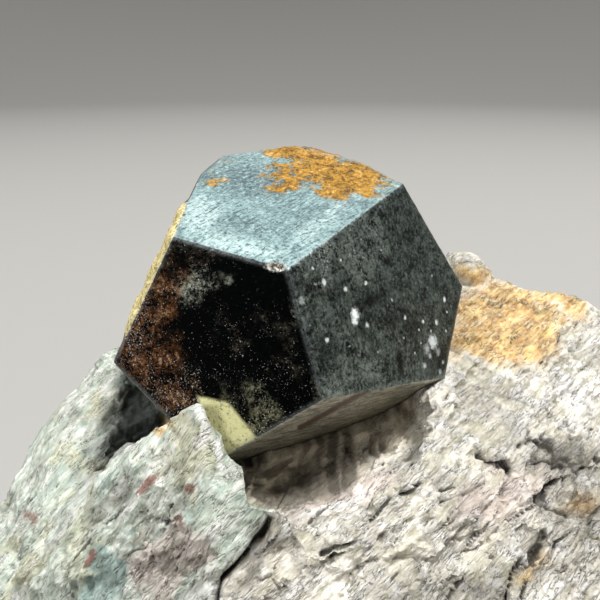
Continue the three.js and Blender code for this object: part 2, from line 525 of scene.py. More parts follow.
LIMONITE = Paint("limonite", -0.45, 0.75, (
    Area(340, 170, 72, 28, 18),
    Area(288, 178, 26, 20, weight=0.8),
    Area(300, 152, 52, 13, 5, sharp=True),
    Area(208, 172, 16, 12, -40, weight=0.4),
), side=Side.TOP)
CRYSTAL_PAINTS = (
    LIMONITE,
    Paint("rust", -0.2, 0.85, (
        Area(126, 345, 58, 72, 20),
        Area(163, 386, 44, 26, 25),
        Area(172, 296, 26, 50, 25, weight=0.6),
    ), side=Side.LEFT_FRONT),
    Paint("haze", -0.1, 0.9, (
        Area(198, 279, 30, 24, 10, weight=0.9, side=Side.LEFT_FRONT),
        Area(256, 402, 50, 26, 24, side=Side.LEFT_FRONT),
        Area(340, 250, 78, 50, 130, weight=1.15, side=Side.RIGHT_FRONT),
        Area(352, 380, 84, 34, -14, weight=0.75, side=Side.RIGHT_FRONT),
    )),
    Paint("streak", -0.1, 0.6, (
        Area(400, 362, 19, 4.5, 84, sharp=True),
        Area(387, 262, 6, 4, 20, sharp=True),
        Area(412, 266, 5, 4, sharp=True),
        Area(440, 355, 14, 20, weight=0.6, sharp=True),
        Area(372, 300, 40, 10, -30, weight=0.5, sharp=True),
    ), side=Side.RIGHT_FRONT),
    Paint("blue_band", -0.2, 0.7, (
        Area(258, 180, 66, 22, 6, sharp=True),
        Area(352, 184, 16, 9, weight=0.8, sharp=True),
        Area(250, 225, 56, 10, 12, weight=0.6, sharp=True),
    ), side=Side.TOP),
    Paint("pale", -0.3, 0.9, (
        Area(198, 217, 26, 24, sharp=True),
        Area(240, 246, 60, 12, 12, weight=0.7, sharp=True),
        Area(330, 215, 60, 12, -36, weight=0.5, sharp=True),
    ), side=Side.TOP),
)
CHIP = Area(275.5, 266.5, 12.5, 6.0)
REFLECTION_PATCH_PX = ((194, 394), (228.5, 401), (260, 440), (226, 462))
BROWN_STREAK_PX = ((300, 428), (330, 411), (375, 386))
STRAW_ROWS_PX = ((196, 214), (318, 345))
SPARKLING_ROWS_PX = (300, 420)


@dataclass(frozen=True)
class Spot:
    """A dust speck: its pixel in the photograph, its radius in millimetres and how white it is."""

    column: float
    row: float
    radius: float
    white: float = 0.75


DUST_SPOTS = (
    Spot(324, 282, 0.2), Spot(345.5, 289, 0.16), Spot(366, 283, 0.15), Spot(355, 314, 0.38, 1.0),
    Spot(355, 321, 0.28, 0.9), Spot(367, 325, 0.17), Spot(327, 340, 0.18), Spot(405, 318, 0.15),
    Spot(423, 321.5, 0.16), Spot(436.5, 322.5, 0.2), Spot(444.6, 299.5, 0.2, 0.85),
    Spot(433, 342, 0.55, 0.7), Spot(427, 349, 0.4, 0.45), Spot(438, 352, 0.3, 0.4),
    Spot(430, 356, 0.22, 0.5), Spot(425, 366, 0.22, 0.5), Spot(440, 372, 0.2, 0.4),
    Spot(313, 268, 0.1), Spot(381, 250, 0.1, 0.4), Spot(392, 300, 0.1, 0.5), Spot(341, 260, 0.08),
    Spot(302, 300, 0.25, 0.35), Spot(432, 276, 0.12, 0.5), Spot(404, 338, 0.09, 0.6),
    Spot(419, 330, 0.1, 0.6), Spot(446, 331, 0.13, 0.6), Spot(421, 343, 0.1, 0.6),
    Spot(443, 362, 0.15, 0.5), Spot(415, 353, 0.09, 0.6), Spot(431, 331, 0.1, 0.6),
    Spot(378, 352, 0.07, 0.5), Spot(350, 346, 0.07, 0.5), Spot(447, 312, 0.1, 0.6),
)


@dataclass(frozen=True)
class Fissure:
    """A crack or ledge: its line of pixels, its width in pixels, its depth and how much painted shade darkens
    it.

    Where step is above zero the rock on the line's right-hand side lies that much lower, and comes
    back over fade pixels.
    """

    line: tuple[Pixel, ...]
    width: float
    depth: float
    painted_shade: float = 0.9
    step: float = 0.0
    fade: float = 14.0


@dataclass(frozen=True)
class Pit:
    """A hollow: its area, its depth and how much painted shade darkens it."""

    area: Area
    depth: float
    painted_shade: float


CREVICE = Fissure(((273, 517), (264, 534), (244, 560), (220, 584), (214, 612)), 5.5, 1.0)
FISSURES = (
    CREVICE,
    Fissure(((320, 552), (336, 547), (352, 544)), 4.5, 0.55),
    Fissure(((392, 557), (408, 555), (426, 559), (444, 552), (458, 545)), 3, 0.25, 0.5, 0.3),
    Fissure(((466, 554), (482, 547), (500, 526)), 3, 0.22, 0.5, 0.3),
    Fissure(((442, 487), (455, 484)), 3, 0.3),
    Fissure(((480, 451), (490, 460), (503, 463), (512, 473)), 7, 0.7, 1.0),
    Fissure(((543, 533), (537, 545), (529, 557)), 8, 0.8, 1.0),
    Fissure(((520, 446), (534, 441), (552, 447)), 4, 0.3, 0.7),
    Fissure(((530, 462), (548, 458), (562, 462), (580, 458)), 4, 0.3, 0.7),
    Fissure(((440, 500), (462, 494), (486, 480)), 3, 0.2, 0.6, 0.15),
    Fissure(((548, 500), (560, 512), (574, 516)), 4, 0.3, 0.7),
    Fissure(((536, 497), (556, 484), (576, 471), (600, 460)), 4, 0.45, 0.7, 0.4),
    Fissure(((545, 438), (562, 450), (588, 456)), 5, 0.3, 0.6),
    Fissure(((176, 528), (160, 524), (152, 516)), 4, 0.3, 0.7),
    Fissure(((505, 600), (513, 572), (526, 556)), 4.5, 0.5, 0.8, 0.45),
    Fissure(((340, 598), (360, 566), (372, 560)), 3, 0.15, 0.4, 0.15),
)
PITS = (
    Pit(Area(493, 459, 20, 9, 33), 0.35, 0.5),
    Pit(Area(524, 566, 8, 20, 36), 0.5, 0.45),
    Pit(Area(566, 452, 28, 12, 12), 0.4, 0.35),
    Pit(Area(546, 538, 26, 12, -40), 0.35, 0.3),
    Pit(Area(596, 528, 12, 18), 0.5, 0.4),
)
ROCK_PAINTS = (
    # Smooth rock: the left lobe and the dark hollow behind the peak.
    Paint("worn", -0.2, 0.4, (Area(62, 440, 62, 84, 24), Area(138, 420, 30, 56, 8))),
    # Finely broken rock with deep relief, and painted shade in its creases.
    Paint("broken", -0.2, 0.5, (
        Area(562, 456, 50, 30, 12),
        Area(178, 560, 46, 54, 20),
        Area(470, 590, 110, 40, -14),
        Area(580, 540, 46, 56),
    )),
    # The ribbed, dusty recess that the crystal overhangs, with painted shade between its ribs, and its
    # darkest part, painted shadow of the overhang.
    Paint("recess", -0.12, 0.28, (
        Area(268, 478, 34, 34, sharp=True),
        Area(320, 464, 60, 36, -24, sharp=True),
        Area(386, 424, 38, 26, -48, sharp=True),
    ), behind=(-12.8, -12.0), firm=True),
    Paint("overhang_shadow", -0.2, 0.5, (Area(312, 484, 62, 22, -27),)),
    # Painted shadow that the crystal casts into the hollow behind the peak.
    Paint("hollow", -0.15, 0.4, (Area(138, 418, 30, 56, 10),), behind=(-10.5, -8.5)),
    Paint("teal", -0.3, 0.6, (Area(104, 582, 28, 34, 10),)),
    Paint("iron", -0.4, 0.8, (
        Area(506, 326, 78, 54, 8, weight=1.4),
        Area(548, 292, 50, 16, 14, weight=1.2),
        Area(472, 272, 26, 18, 20, weight=0.8),
        Area(167, 424, 18, 11, -35, weight=1.2),
        Area(524, 572, 22, 34, 30, weight=0.5),
        Area(586, 500, 26, 20, -30, weight=0.5),
    )),
    Paint("rose", -0.3, 0.6, (
        Area(146, 485, 19, 6, -52, sharp=True),
        Area(90, 558, 15, 6, -58, sharp=True),
        Area(187, 516, 20, 26, weight=0.42),
        Area(187, 489, 8, 7, weight=0.8, sharp=True),
        Area(32, 520, 24, 16, 20, weight=0.4),
    )),
    Paint("violet", -0.2, 0.7, (
        Area(174, 558, 46, 58, 15, weight=1.2),
        Area(340, 500, 76, 26, -26, weight=1.1),
        Area(500, 500, 90, 40, -28, weight=0.6),
    )),
    Paint("white", -0.1, 0.7, (
        Area(200, 432, 11, 40, -6),
        Area(222, 452, 8, 26, -25),
        Area(576, 398, 44, 34, 14, weight=0.7),
        Area(330, 512, 62, 16, -26, weight=0.8),
    )),
    Paint("shade", -0.2, 0.9, (
        Area(585, 500, 52, 62, 20, weight=0.55),
        Area(470, 592, 120, 36, -14, weight=0.5),
        Area(250, 568, 48, 30, -55, weight=0.85),
        Area(84, 412, 40, 62, 24, weight=0.5),
        Area(562, 452, 48, 26, 16, weight=1.1),
        Area(500, 420, 50, 26, 20, weight=0.4),
    )),
)


# Mesh helpers


class Domain(Enum):
    """What a mesh keeps a number for."""

    VERTEX = "POINT"
    FACE = "FACE"


def deselect_all() -> None:
    """Leaves edit mode and deselects every object."""
    if bpy.context.object and bpy.context.object.mode != "OBJECT":
        bpy.ops.object.mode_set(mode="OBJECT")
    bpy.ops.object.select_all(action="DESELECT")


def activate(piece: bpy.types.Object) -> None:
    """Makes one object the only selected and the active one."""
    deselect_all()
    piece.select_set(True)
    bpy.context.view_layer.objects.active = piece


def select_faces(piece: bpy.types.Object, wanted: np.ndarray) -> None:
    """Selects the wanted faces and stays in edit mode.

    Args:
        piece: The mesh object.
        wanted: One truth value a face.
    """
    activate(piece)
    bpy.ops.object.mode_set(mode="EDIT")
    bpy.ops.mesh.select_mode(type="FACE")
    bpy.ops.mesh.select_all(action="DESELECT")
    bpy.ops.object.mode_set(mode="OBJECT")
    piece.data.polygons.foreach_set("select", wanted)
    bpy.ops.object.mode_set(mode="EDIT")


def apply_modifier(piece: bpy.types.Object, kind: str, settings: dict[str, object]) -> None:
    """Adds a modifier to a piece, sets it and applies it.

    Args:
        piece: The mesh object.
        kind: The modifier's type.
        settings: Property names and values.
    """
    activate(piece)
    modifier = piece.modifiers.new(kind.lower(), kind)
    for key, value in settings.items():
        setattr(modifier, key, value)
    bpy.ops.object.modifier_apply(modifier=modifier.name)


def read_vectors(parts: bpy.types.bpy_prop_collection, key: str) -> np.ndarray:
    """Returns one vector for each vertex or face of a mesh, shape (n, 3)."""
    flat = np.empty(len(parts) * 3)
    parts.foreach_get(key, flat)
    return flat.reshape(-1, 3)


def write_points(piece: bpy.types.Object, points: np.ndarray) -> None:
    """Moves a mesh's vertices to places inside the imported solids' box."""
    inside = np.clip(to_frame(points), np.array(CAD_BOX[0]), np.array(CAD_BOX[1]))
    piece.data.vertices.foreach_set("co", inside.astype(np.float32).ravel())
    piece.data.update()


def store(piece: bpy.types.Object, name: str, values: np.ndarray, domain: Domain = Domain.VERTEX) -> None:
    """Keeps one number a vertex or a face on the mesh, for its material to read.

    Args:
        piece: The mesh object.
        name: The attribute's name.
        values: One number each.
        domain: Whether vertices or faces keep it.
    """
    attribute = piece.data.attributes.new(name, "FLOAT", domain.value)
    attribute.data.foreach_set("value", values.astype(np.float32))


def hand_over(piece: bpy.types.Object, material: bpy.types.Material, node: str) -> None:
    """Gives a finished piece its material and its place in the frame.

    Args:
        piece: The mesh object.
        material: Its material.
        node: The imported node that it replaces.
    """
    piece.data.materials.clear()
    piece.data.materials.append(material)
    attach(piece, ROOT)
    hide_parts(node)


# Finishes


def linear(colour: str) -> tuple[float, float, float, float]:
    """Turns an sRGB hex colour into linear RGBA.

    Args:
        colour: Six hex digits with a leading hash.

    Returns:
        Linear red, green, blue and an alpha of one.
    """
    parts = [int(colour[i:i + 2], 16) / 255 for i in (1, 3, 5)]
    bright = [p / 12.92 if p <= 0.04045 else ((p + 0.055) / 1.055) ** 2.4 for p in parts]
    return (bright[0], bright[1], bright[2], 1.0)


class Shader:
    """One material in the making, and the ways in which its patterns are put together."""

    def __init__(self, name: str) -> None:
        """Makes an empty material with an output and a Principled surface."""
        self.material = bpy.data.materials.new(name)
        self.material.use_nodes = True
        self.tree = self.material.node_tree
        self.tree.nodes.clear()
        self.surface = self.add("ShaderNodeBsdfPrincipled")
        self.add("ShaderNodeOutputMaterial", Surface=self.surface.outputs[0])
        centre = tuple(CENTRE)
        coordinates = self.add("ShaderNodeTexCoord").outputs["Object"]
        moved = self.add("ShaderNodeVectorMath", {"operation": "SUBTRACT"}, in0=coordinates, in1=centre)
        scaled = self.add("ShaderNodeVectorMath", {"operation": "SCALE"}, in0=moved.outputs[0], Scale=1 / MM)
        self.place = scaled.outputs[0]

    def add(self, kind: str, settings: Optional[dict] = None, **inputs: object) -> bpy.types.Node:
        """Adds a node, sets its properties and fills or links its inputs.

        Args:
            kind: The node's type name.
            settings: Property names and values.
            **inputs: Input names, or in0, in1 for inputs by place, with values or output sockets.

        Returns:
            The new node.
        """
        node = self.tree.nodes.new(kind)
        for key, value in (settings or {}).items():
            setattr(node, key, value)
        for key, value in inputs.items():
            by_place = key[:2] == "in" and key[2:].isdigit()
            self.fill(node.inputs[int(key[2:])] if by_place else node.inputs[key], value)
        return node

    def fill(self, socket: bpy.types.NodeSocket, value: object) -> None:
        """Links an output socket to an input, or sets the input to a plain value."""
        if isinstance(value, bpy.types.NodeSocket):
            self.tree.links.new(value, socket)
        else:
            socket.default_value = value

    def mark(self, name: str) -> Value:
        """Returns the number that the mesh keeps under a name."""
        return self.add("ShaderNodeAttribute", {"attribute_name": name}).outputs["Fac"]

    def weigh(self, *parts: tuple[Value, float], base: float = 0.0) -> Value:
        """Adds values, each times its weight, to a base.

        Args:
            *parts: Values with their weights.
            base: What they are added to.

        Returns:
            The sum.
        """
        total: Value = base
        for value, weight in parts:
            node = self.add("ShaderNodeMath", {"operation": "MULTIPLY_ADD"}, in0=value, in1=weight, in2=total)
            total = node.outputs[0]
        return total

    def combine(self, operation: str, values: Sequence[Value]) -> Value:
        """Takes values together two by two.

        Args:
            operation: What is done with two of them.
            values: Two values or more.

        Returns:
            The result of them all.
        """
        total = values[0]
        for value in values[1:]:
            total = self.add("ShaderNodeMath", {"operation": operation}, in0=total, in1=value).outputs[0]
        return total

    def where_all(self, *values: Value) -> Value:
        """Returns the values' product: one only where they are all one."""
        return self.combine("MULTIPLY", values)

    def where_any(self, *values: Value) -> Value:
        """Returns the highest of the values."""
        return self.combine("MAXIMUM", values)

    def fade(self, value: Value, low: float, high: float, kind: str = "SMOOTHSTEP") -> Value:
        """Rises from zero at low to one at high, or falls where low is above high.

        Args:
            value: What is measured.
            low: Where the result is zero.
            high: Where the result is one.
            kind: SMOOTHSTEP or LINEAR.

        Returns:
            The share, from zero to one.
        """
        limits = {"From Min": low, "From Max": high}
        return self.add("ShaderNodeMapRange", {"interpolation_type": kind}, Value=value, **limits).outputs[0]

    def lay(self, below: Tone, tone: Tone, share: Value, strength: float = 1.0) -> Value:
        """Lays one tone over another.

        Args:
            below: The colour that is covered, as a hex colour or an output.
            tone: The colour that covers it.
            share: Where it is laid, from zero to one.
            strength: How well it covers there.

        Returns:
            The mixed colour.
        """
        first, second = (linear(part) if isinstance(part, str) else part for part in (below, tone))
        laid = share if strength == 1.0 else self.weigh((share, strength))
        return self.add("ShaderNodeMix", {"data_type": "RGBA"}, in0=laid, in6=first, in7=second).outputs[2]

    def cloud(self, size: float, detail: float = 3.0, rough: float = 0.55, twist: float = 0.0,
              place: Optional[Value] = None) -> Value:
        """Draws soft clouds, from about 0.2 to 0.8.

        Args:
            size: How large they are, in the place's units.
            detail: How many finer sizes are added.
            rough: How strong the finer sizes are.
            twist: How much they swirl.
            place: Where they are drawn, or nothing for millimetres on the piece.

        Returns:
            The clouds.
        """
        return self.add("ShaderNodeTexNoise", Vector=place or self.place, Scale=1 / size, Detail=detail,
                        Roughness=rough, Distortion=twist).outputs["Fac"]

    def along(self, axes: Sequence[Sequence[float]], sizes: Triple = (1.0, 1.0, 1.0)) -> Value:
        """Measures places along three directions.

        Args:
            axes: Three unit directions.
            sizes: What counts as one unit along each.

        Returns:
            The three distances as one vector.
        """
        parts = {}
        for name, axis, size in zip("XYZ", axes, sizes):
            scaled = tuple(part / size for part in axis)
            dot = self.add("ShaderNodeVectorMath", {"operation": "DOT_PRODUCT"}, in0=self.place, in1=scaled)
            parts[name] = dot.outputs["Value"]
        return self.add("ShaderNodeCombineXYZ", **parts).outputs[0]

    def finish(self, colour: Value, rough: Value, metal: Value, height: Value, strength: float,
               depth: float) -> bpy.types.Material:
        """Joins the patterns to the surface.

        Args:
            colour: The surface's colour.
            rough: Its roughness.
            metal: How metallic it is.
            height: Its fine relief, from about zero to one.
            strength: How strongly the relief shows.
            depth: The relief's depth in millimetres.

        Returns:
            The finished material.
        """
        bump = self.add("ShaderNodeBump", Strength=strength, Distance=depth * MM, Height=height)
        joined = {"Base Color": colour, "Roughness": rough, "Metallic": metal, "Normal": bump.outputs[0]}
        for name, value in joined.items():
            self.fill(self.surface.inputs[name], value)
        return self.material


# Crystal


class PyriteFinish(Shader):
    """Tarnished pyrite, as grown: a metal whose flat mirror faces hold dust, limonite and rust.

    The metal is nearly black where it mirrors nothing. Each face's tone is painted light and reflection over
    real tarnish and dust, standing in for how much light that face catches.
    """

    BLACK = "#020303"
    TARNISH_AND_SHADE = "#070809"
    RIGHT_DEEP = "#141819"
    RIGHT_PALE = "#84928a"
    DUSTY = "#9aa59c"
    TOP = "#85a09f"
    TOP_DARK = "#2b3f44"
    TOP_PALE = "#bdd2d0"
    TOP_BAND = "#2c4048"
    TOP_GLINT = "#d9e6e4"
    UNDER_REFLECTION = "#bfbba9"
    UNDER_DARK = "#4d4a3f"
    BROWN_LINE = "#4c2a1a"
    UNSEEN = "#3a3d3b"
    LIMONITE_PALE = "#c9b384"
    LIMONITE_LIGHT = "#ab8030"
    LIMONITE_DEEP = "#4f3818"
    STRAW = "#dccf98"
    STRAW_DEEP = "#86733d"
    RUST = "#583821"
    RUST_PALE = "#b8946c"
    OLIVE = "#cfcb98"
    OLIVE_DARK = "#6c6a42"
    HAZE = "#a3a999"
    OLIVE_HAZE = "#8b8763"
    DUST = "#dfe4e2"
    SPARK = "#f2f5ee"
    EDGE_HIGHLIGHT = "#a9b2b3"
    CHIP_DARK = "#57524a"
    CHIP_WHITE = "#ece8dd"

    SPECULAR = 0.3
    METAL = 0.97
    FIBRE_ALONG = (0.576, 0.796, 0.185)
    FIBRE_SIZE = (1.3, 0.16, 0.5)
    STROKE_ALONG = (0.72, 0.68, -0.27)
    STROKE_SIZE = (1.2, 0.22, 0.3)
    PATCH_EDGE = (-0.05, 0.22)

    def __init__(self) -> None:
        """Draws the patterns that the faces share."""
        super().__init__("tarnished_pyrite")
        fibre_axes = plane_axes(PLANES.plane(Side.TOP)[0], self.FIBRE_ALONG)
        self.fibres = self.cloud(1.0, 5.0, 0.74, 1.3, self.along(fibre_axes, self.FIBRE_SIZE))
        self.broad = self.cloud(2.4, 4.0, 0.6)
        self.fine = self.cloud(0.22, 3.0, 0.8)
        self.clumps = self.cloud(0.9, 6.0, 0.72, 0.3)

    def build(self) -> bpy.types.Material:
        """Builds the material.

        Returns:
            The finished material.
        """
        # The olive patch on the left front face is a painted reflection of the rock below.
        patch = self.patch(Side.LEFT_FRONT, REFLECTION_PATCH_PX)
        colour = self.left_front(patch)
        colour = self.right_front(colour)
        colour = self.underside(colour)
        colour = self.top_face(colour)
        sparkle = self.sparkles()
        # Painted glints.
        colour = self.lay(colour, self.SPARK, sparkle)
        dusty = self.spots()
        colour = self.lay(colour, self.DUST, dusty)
        colour, earthy = self.crusts(colour)

        # The painted reflection patch and the painted glints are made matt, so that their colour shows.
        earthy = self.where_any(earthy, dusty, sparkle, patch)
        film = self.weigh((self.mark("face_top"), 0.6), (self.mark("face_underside"), 0.3))
        dull = self.where_any(self.weigh((earthy, 0.85)), film)
        metal = self.fade(dull, self.METAL, self.METAL - 1, "LINEAR")
        rough = self.weigh((earthy, 0.5), (self.fine, 0.25), base=0.3)
        height = self.weigh((self.fibres, 0.6), (self.fine, 0.5))
        self.surface.inputs["Specular IOR Level"].default_value = self.SPECULAR
        return self.finish(colour, rough, metal, height, 0.4, 0.12)

    def ragged(self, name: str) -> Value:
        """Returns a soft mark of the mesh with its outline broken up."""
        return self.fade(self.weigh((self.mark(name), 1.0), (self.broad, 1.6)), 0.85, 1.7)

    def left_front(self, patch: Value) -> Value:
        """Draws the left front face: black tarnish with painted shade, rust at its left and an olive patch of
        painted reflection.

        Args:
            patch: Where the olive patch of painted reflection lies.

        Returns:
            The face's colour.
        """
        # Painted shade: the near-black stands in for the left front face mirroring nothing, over its dark
        # tarnish.
        colour = self.lay(self.BLACK, self.TARNISH_AND_SHADE, self.fade(self.fine, 0.45, 0.75))
        speckled = self.weigh((self.clumps, 0.45), (self.fine, 0.55))
        haze = self.where_all(self.ragged("haze"), self.fade(speckled, 0.44, 0.64))
        haze_tone = self.lay(self.HAZE, self.OLIVE_HAZE, self.mark("low_left"))
        colour = self.lay(colour, haze_tone, haze, 0.85)
        rusty = self.ragged("rust")
        colour = self.lay(colour, self.RUST, self.where_all(rusty, self.fade(speckled, 0.44, 0.56)))
        pale = self.where_all(rusty, self.fade(speckled, 0.55, 0.64))
        colour = self.lay(colour, self.RUST_PALE, pale, 0.7)
        # Painted reflection: the olive patch stands in for the rock below, mirrored in the left front face.
        reflection_tone = self.lay(self.OLIVE_DARK, self.OLIVE, self.fade(self.fine, 0.3, 0.5))
        return self.lay(colour, reflection_tone, patch, 0.95)

    def patch(self, side: Side, outline: Sequence[Pixel]) -> Value:
        """Marks what lies inside an outline of pixels on a face.

        Args:
            side: The face.
            outline: The corners' pixels in order.

        Returns:
            One inside the outline and zero outside.
        """
        normal, reach = PLANES.plane(side)
        corners = [VIEW.on_plane(pixel, normal, reach) for pixel in outline]
        middle = sum(corners) / len(corners)
        mask = self.mark(f"face_{side.value}")
        for first, second in zip(corners, corners[1:] + corners[:1]):
            inward = unit(np.cross(normal, second - first))
            inward *= np.sign(inward @ (middle - first))
            inside = self.add("ShaderNodeVectorMath", {"operation": "DOT_PRODUCT"}, in0=self.place,
                              in1=tuple(inward)).outputs["Value"]
            low, high = (float(inward @ first) + edge for edge in self.PATCH_EDGE)
            mask = self.where_all(mask, self.fade(inside, low, high))
        return mask

    def right_front(self, colour: Value) -> Value:
        """Adds the right front face, and the plain faces that the photograph doesn't show.

        Args:
            colour: The colour so far.

        Returns:
            The colour with these faces.
        """
        unseen = self.weigh((self.mark("face_left_front"), -1.0), base=1.0)
        plain = self.lay(self.RIGHT_DEEP, self.UNSEEN, self.fade(self.broad, 0.35, 0.65))
        colour = self.lay(colour, plain, unseen)
        mottle = self.weigh((self.clumps, 0.5), (self.fine, 0.5))
        # Painted light: this dark grey stands in for the little light the mirror-like right front face
        # catches, with real dust mottled over it.
        right = self.lay(self.RIGHT_DEEP, self.RIGHT_PALE, self.fade(mottle, 0.38, 0.68))
        right = self.lay(right, self.DUSTY, self.fade(self.fine, 0.55, 0.68), 0.6)
        right = self.lay(right, self.BLACK, self.fade(self.fine, 0.4, 0.3), 0.6)
        right = self.lay(right, self.RIGHT_DEEP, self.fade(self.broad, 0.5, 0.36), 0.55)
        haze = self.where_all(self.ragged("haze"), self.fade(mottle, 0.42, 0.64))
        right = self.lay(right, self.DUSTY, haze, 0.75)
        right = self.lay(right, self.BLACK, self.mark("streak"), 0.9)
        return self.lay(colour, right, self.mark("face_right_front"))

    def underside(self, colour: Value) -> Value:
        """Adds the underside's face: grey strokes and a brown streak, its pale grey a painted reflection of
        the rock below with strokes along its striations.

        Args:
            colour: The colour so far.

        Returns:
            The colour with this face.
        """
        axes = plane_axes(PLANES.plane(Side.UNDERSIDE)[0], self.STROKE_ALONG)
        strokes = self.cloud(1.0, 4.0, 0.75, place=self.along(axes, self.STROKE_SIZE))
        mottle = self.weigh((strokes, 0.6), (self.fine, 0.4))
        # Painted reflection: the pale grey stands in for the rock below mirrored by the underside, in strokes
        # along its striations.
        under = self.lay(self.UNDER_DARK, self.UNDER_REFLECTION, self.fade(mottle, 0.38, 0.6))
        brown = self.weigh((self.mark("brown"), 1.0), (strokes, 1.4))
        under = self.lay(under, self.BROWN_LINE, self.fade(brown, 1.25, 1.85), 0.95)
        return self.lay(colour, under, self.mark("face_underside"))

    def top_face(self, colour: Value) -> Value:
        """Adds the top face: blue-grey with fine fibres, a darker band and a paler corner, its pale blue-grey
        a painted reflection of the light above over a real dusty film.

        Args:
            colour: The colour so far.

        Returns:
            The colour with this face.
        """
        grain = self.weigh((self.fibres, 0.5), (self.fine, 0.5))
        # Painted reflection: the pale blue-grey stands in for the light above mirrored by the top face, over
        # a real dusty film.
        tone = self.lay(self.TOP_DARK, self.TOP, self.fade(grain, 0.38, 0.56))
        pale = self.fade(self.weigh((self.mark("pale"), 1.0), (self.broad, 1.1)), 0.6, 1.4)
        tone = self.lay(tone, self.TOP_PALE, self.where_all(pale, self.fade(grain, 0.4, 0.56)), 0.7)
        band = self.where_all(self.mark("blue_band"), self.fade(self.fine, 0.75, 0.35))
        dark = self.where_any(band, self.weigh((self.fade(self.broad, 0.48, 0.36), 0.5)))
        tone = self.lay(tone, self.TOP_BAND, dark, 0.75)
        tone = self.lay(tone, self.TOP_GLINT, self.fade(grain, 0.54, 0.66), 0.6)
        tone = self.lay(tone, self.TOP_BAND, self.fade(self.fine, 0.38, 0.28), 0.4)
        return self.lay(colour, tone, self.mark("face_top"))

    def sparkles(self) -> Value:
        """Draws painted glints: the bright points of light that dust and tiny pits catch on the dark faces.

        Real ones are finer. They are drawn just large enough to show.

        Returns:
            Where they lie.
        """
        gathered = self.where_any(self.mark("rust"), self.mark("haze"), self.mark("low_left"))
        crowded = self.weigh((gathered, 0.8), (self.fade(self.broad, 0.4, 0.65), 0.5))
        grains = self.cloud(0.09, 2.0, 0.85)
        odds = self.weigh((grains, 1.0), (crowded, 0.1), (self.cloud(0.5, 3.0, 0.7), 0.16))
        off_top = self.weigh((self.mark("face_top"), -1.0), base=1.0)
        return self.where_all(self.fade(odds, 0.79, 0.87), off_top, 0.6)

    def spots(self) -> Value:
        """Draws the white dust specks of the right front face.

        Returns:
            Where they lie.
        """
        wobble = self.cloud(0.16, 3.0, 0.7)
        specks: list[Value] = []
        for spot in DUST_SPOTS:
            centre = VIEW.on_plane((spot.column, spot.row), *PLANES.plane(Side.RIGHT_FRONT))
            gap = self.add("ShaderNodeVectorMath", {"operation": "DISTANCE"}, in0=self.place,
                           in1=tuple(centre)).outputs["Value"]
            size = self.weigh((gap, 1 / spot.radius), (wobble, 2.0))
            specks.append(self.weigh((self.fade(size, 2.3, 1.3), spot.white)))
        return self.where_all(self.where_any(*specks), self.mark("face_right_front"))

    def crusts(self, colour: Value) -> tuple[Value, Value]:
        """Adds limonite in ragged streaks, the straw crust, the pale edges, a painted highlight along the
        worn edges, and the chip.

        Args:
            colour: The colour so far.

        Returns:
            The colour with them, and where the surface is earthy.
        """
        blotch = self.cloud(0.9, 7.0, 0.8, 0.6)
        reach = self.weigh((self.mark("limonite"), 1.0), (blotch, 1.8), (self.fibres, 1.7))
        limonite = self.where_all(self.fade(reach, 2.26, 2.52), self.mark("face_top"))
        depth = self.weigh((blotch, 0.55), (self.fine, 0.45))
        tone = self.lay(self.LIMONITE_DEEP, self.LIMONITE_LIGHT, self.fade(depth, 0.41, 0.56))
        tone = self.lay(tone, self.LIMONITE_PALE, self.fade(depth, 0.55, 0.64))
        colour = self.lay(colour, tone, limonite)
        straw = self.fade(self.weigh((self.mark("straw"), 1.0), (self.broad, 0.8)), 0.62, 0.8)
        tone = self.lay(self.STRAW_DEEP, self.STRAW, self.fade(self.fine, 0.35, 0.62))
        colour = self.lay(colour, tone, straw)
        # Painted highlight along the worn edges.
        edge = self.where_all(self.mark("edge"), self.fade(self.fine, 0.25, 0.6))
        colour = self.lay(colour, self.EDGE_HIGHLIGHT, edge, 0.24)
        chip = self.mark("chip")
        tone = self.lay(self.CHIP_DARK, self.CHIP_WHITE, self.fade(self.fine, 0.42, 0.6))
        return self.lay(colour, tone, chip), self.where_any(limonite, straw, chip)


MARKED_SIDES = (
    (Side.TOP, (Side.TOP, Side.BROKEN_LEFT, Side.BROKEN_TOP)),
    (Side.LEFT_FRONT, (Side.LEFT_FRONT,)),
    (Side.RIGHT_FRONT, (Side.RIGHT_FRONT,)),
    (Side.UNDERSIDE, (Side.UNDERSIDE,)),
)


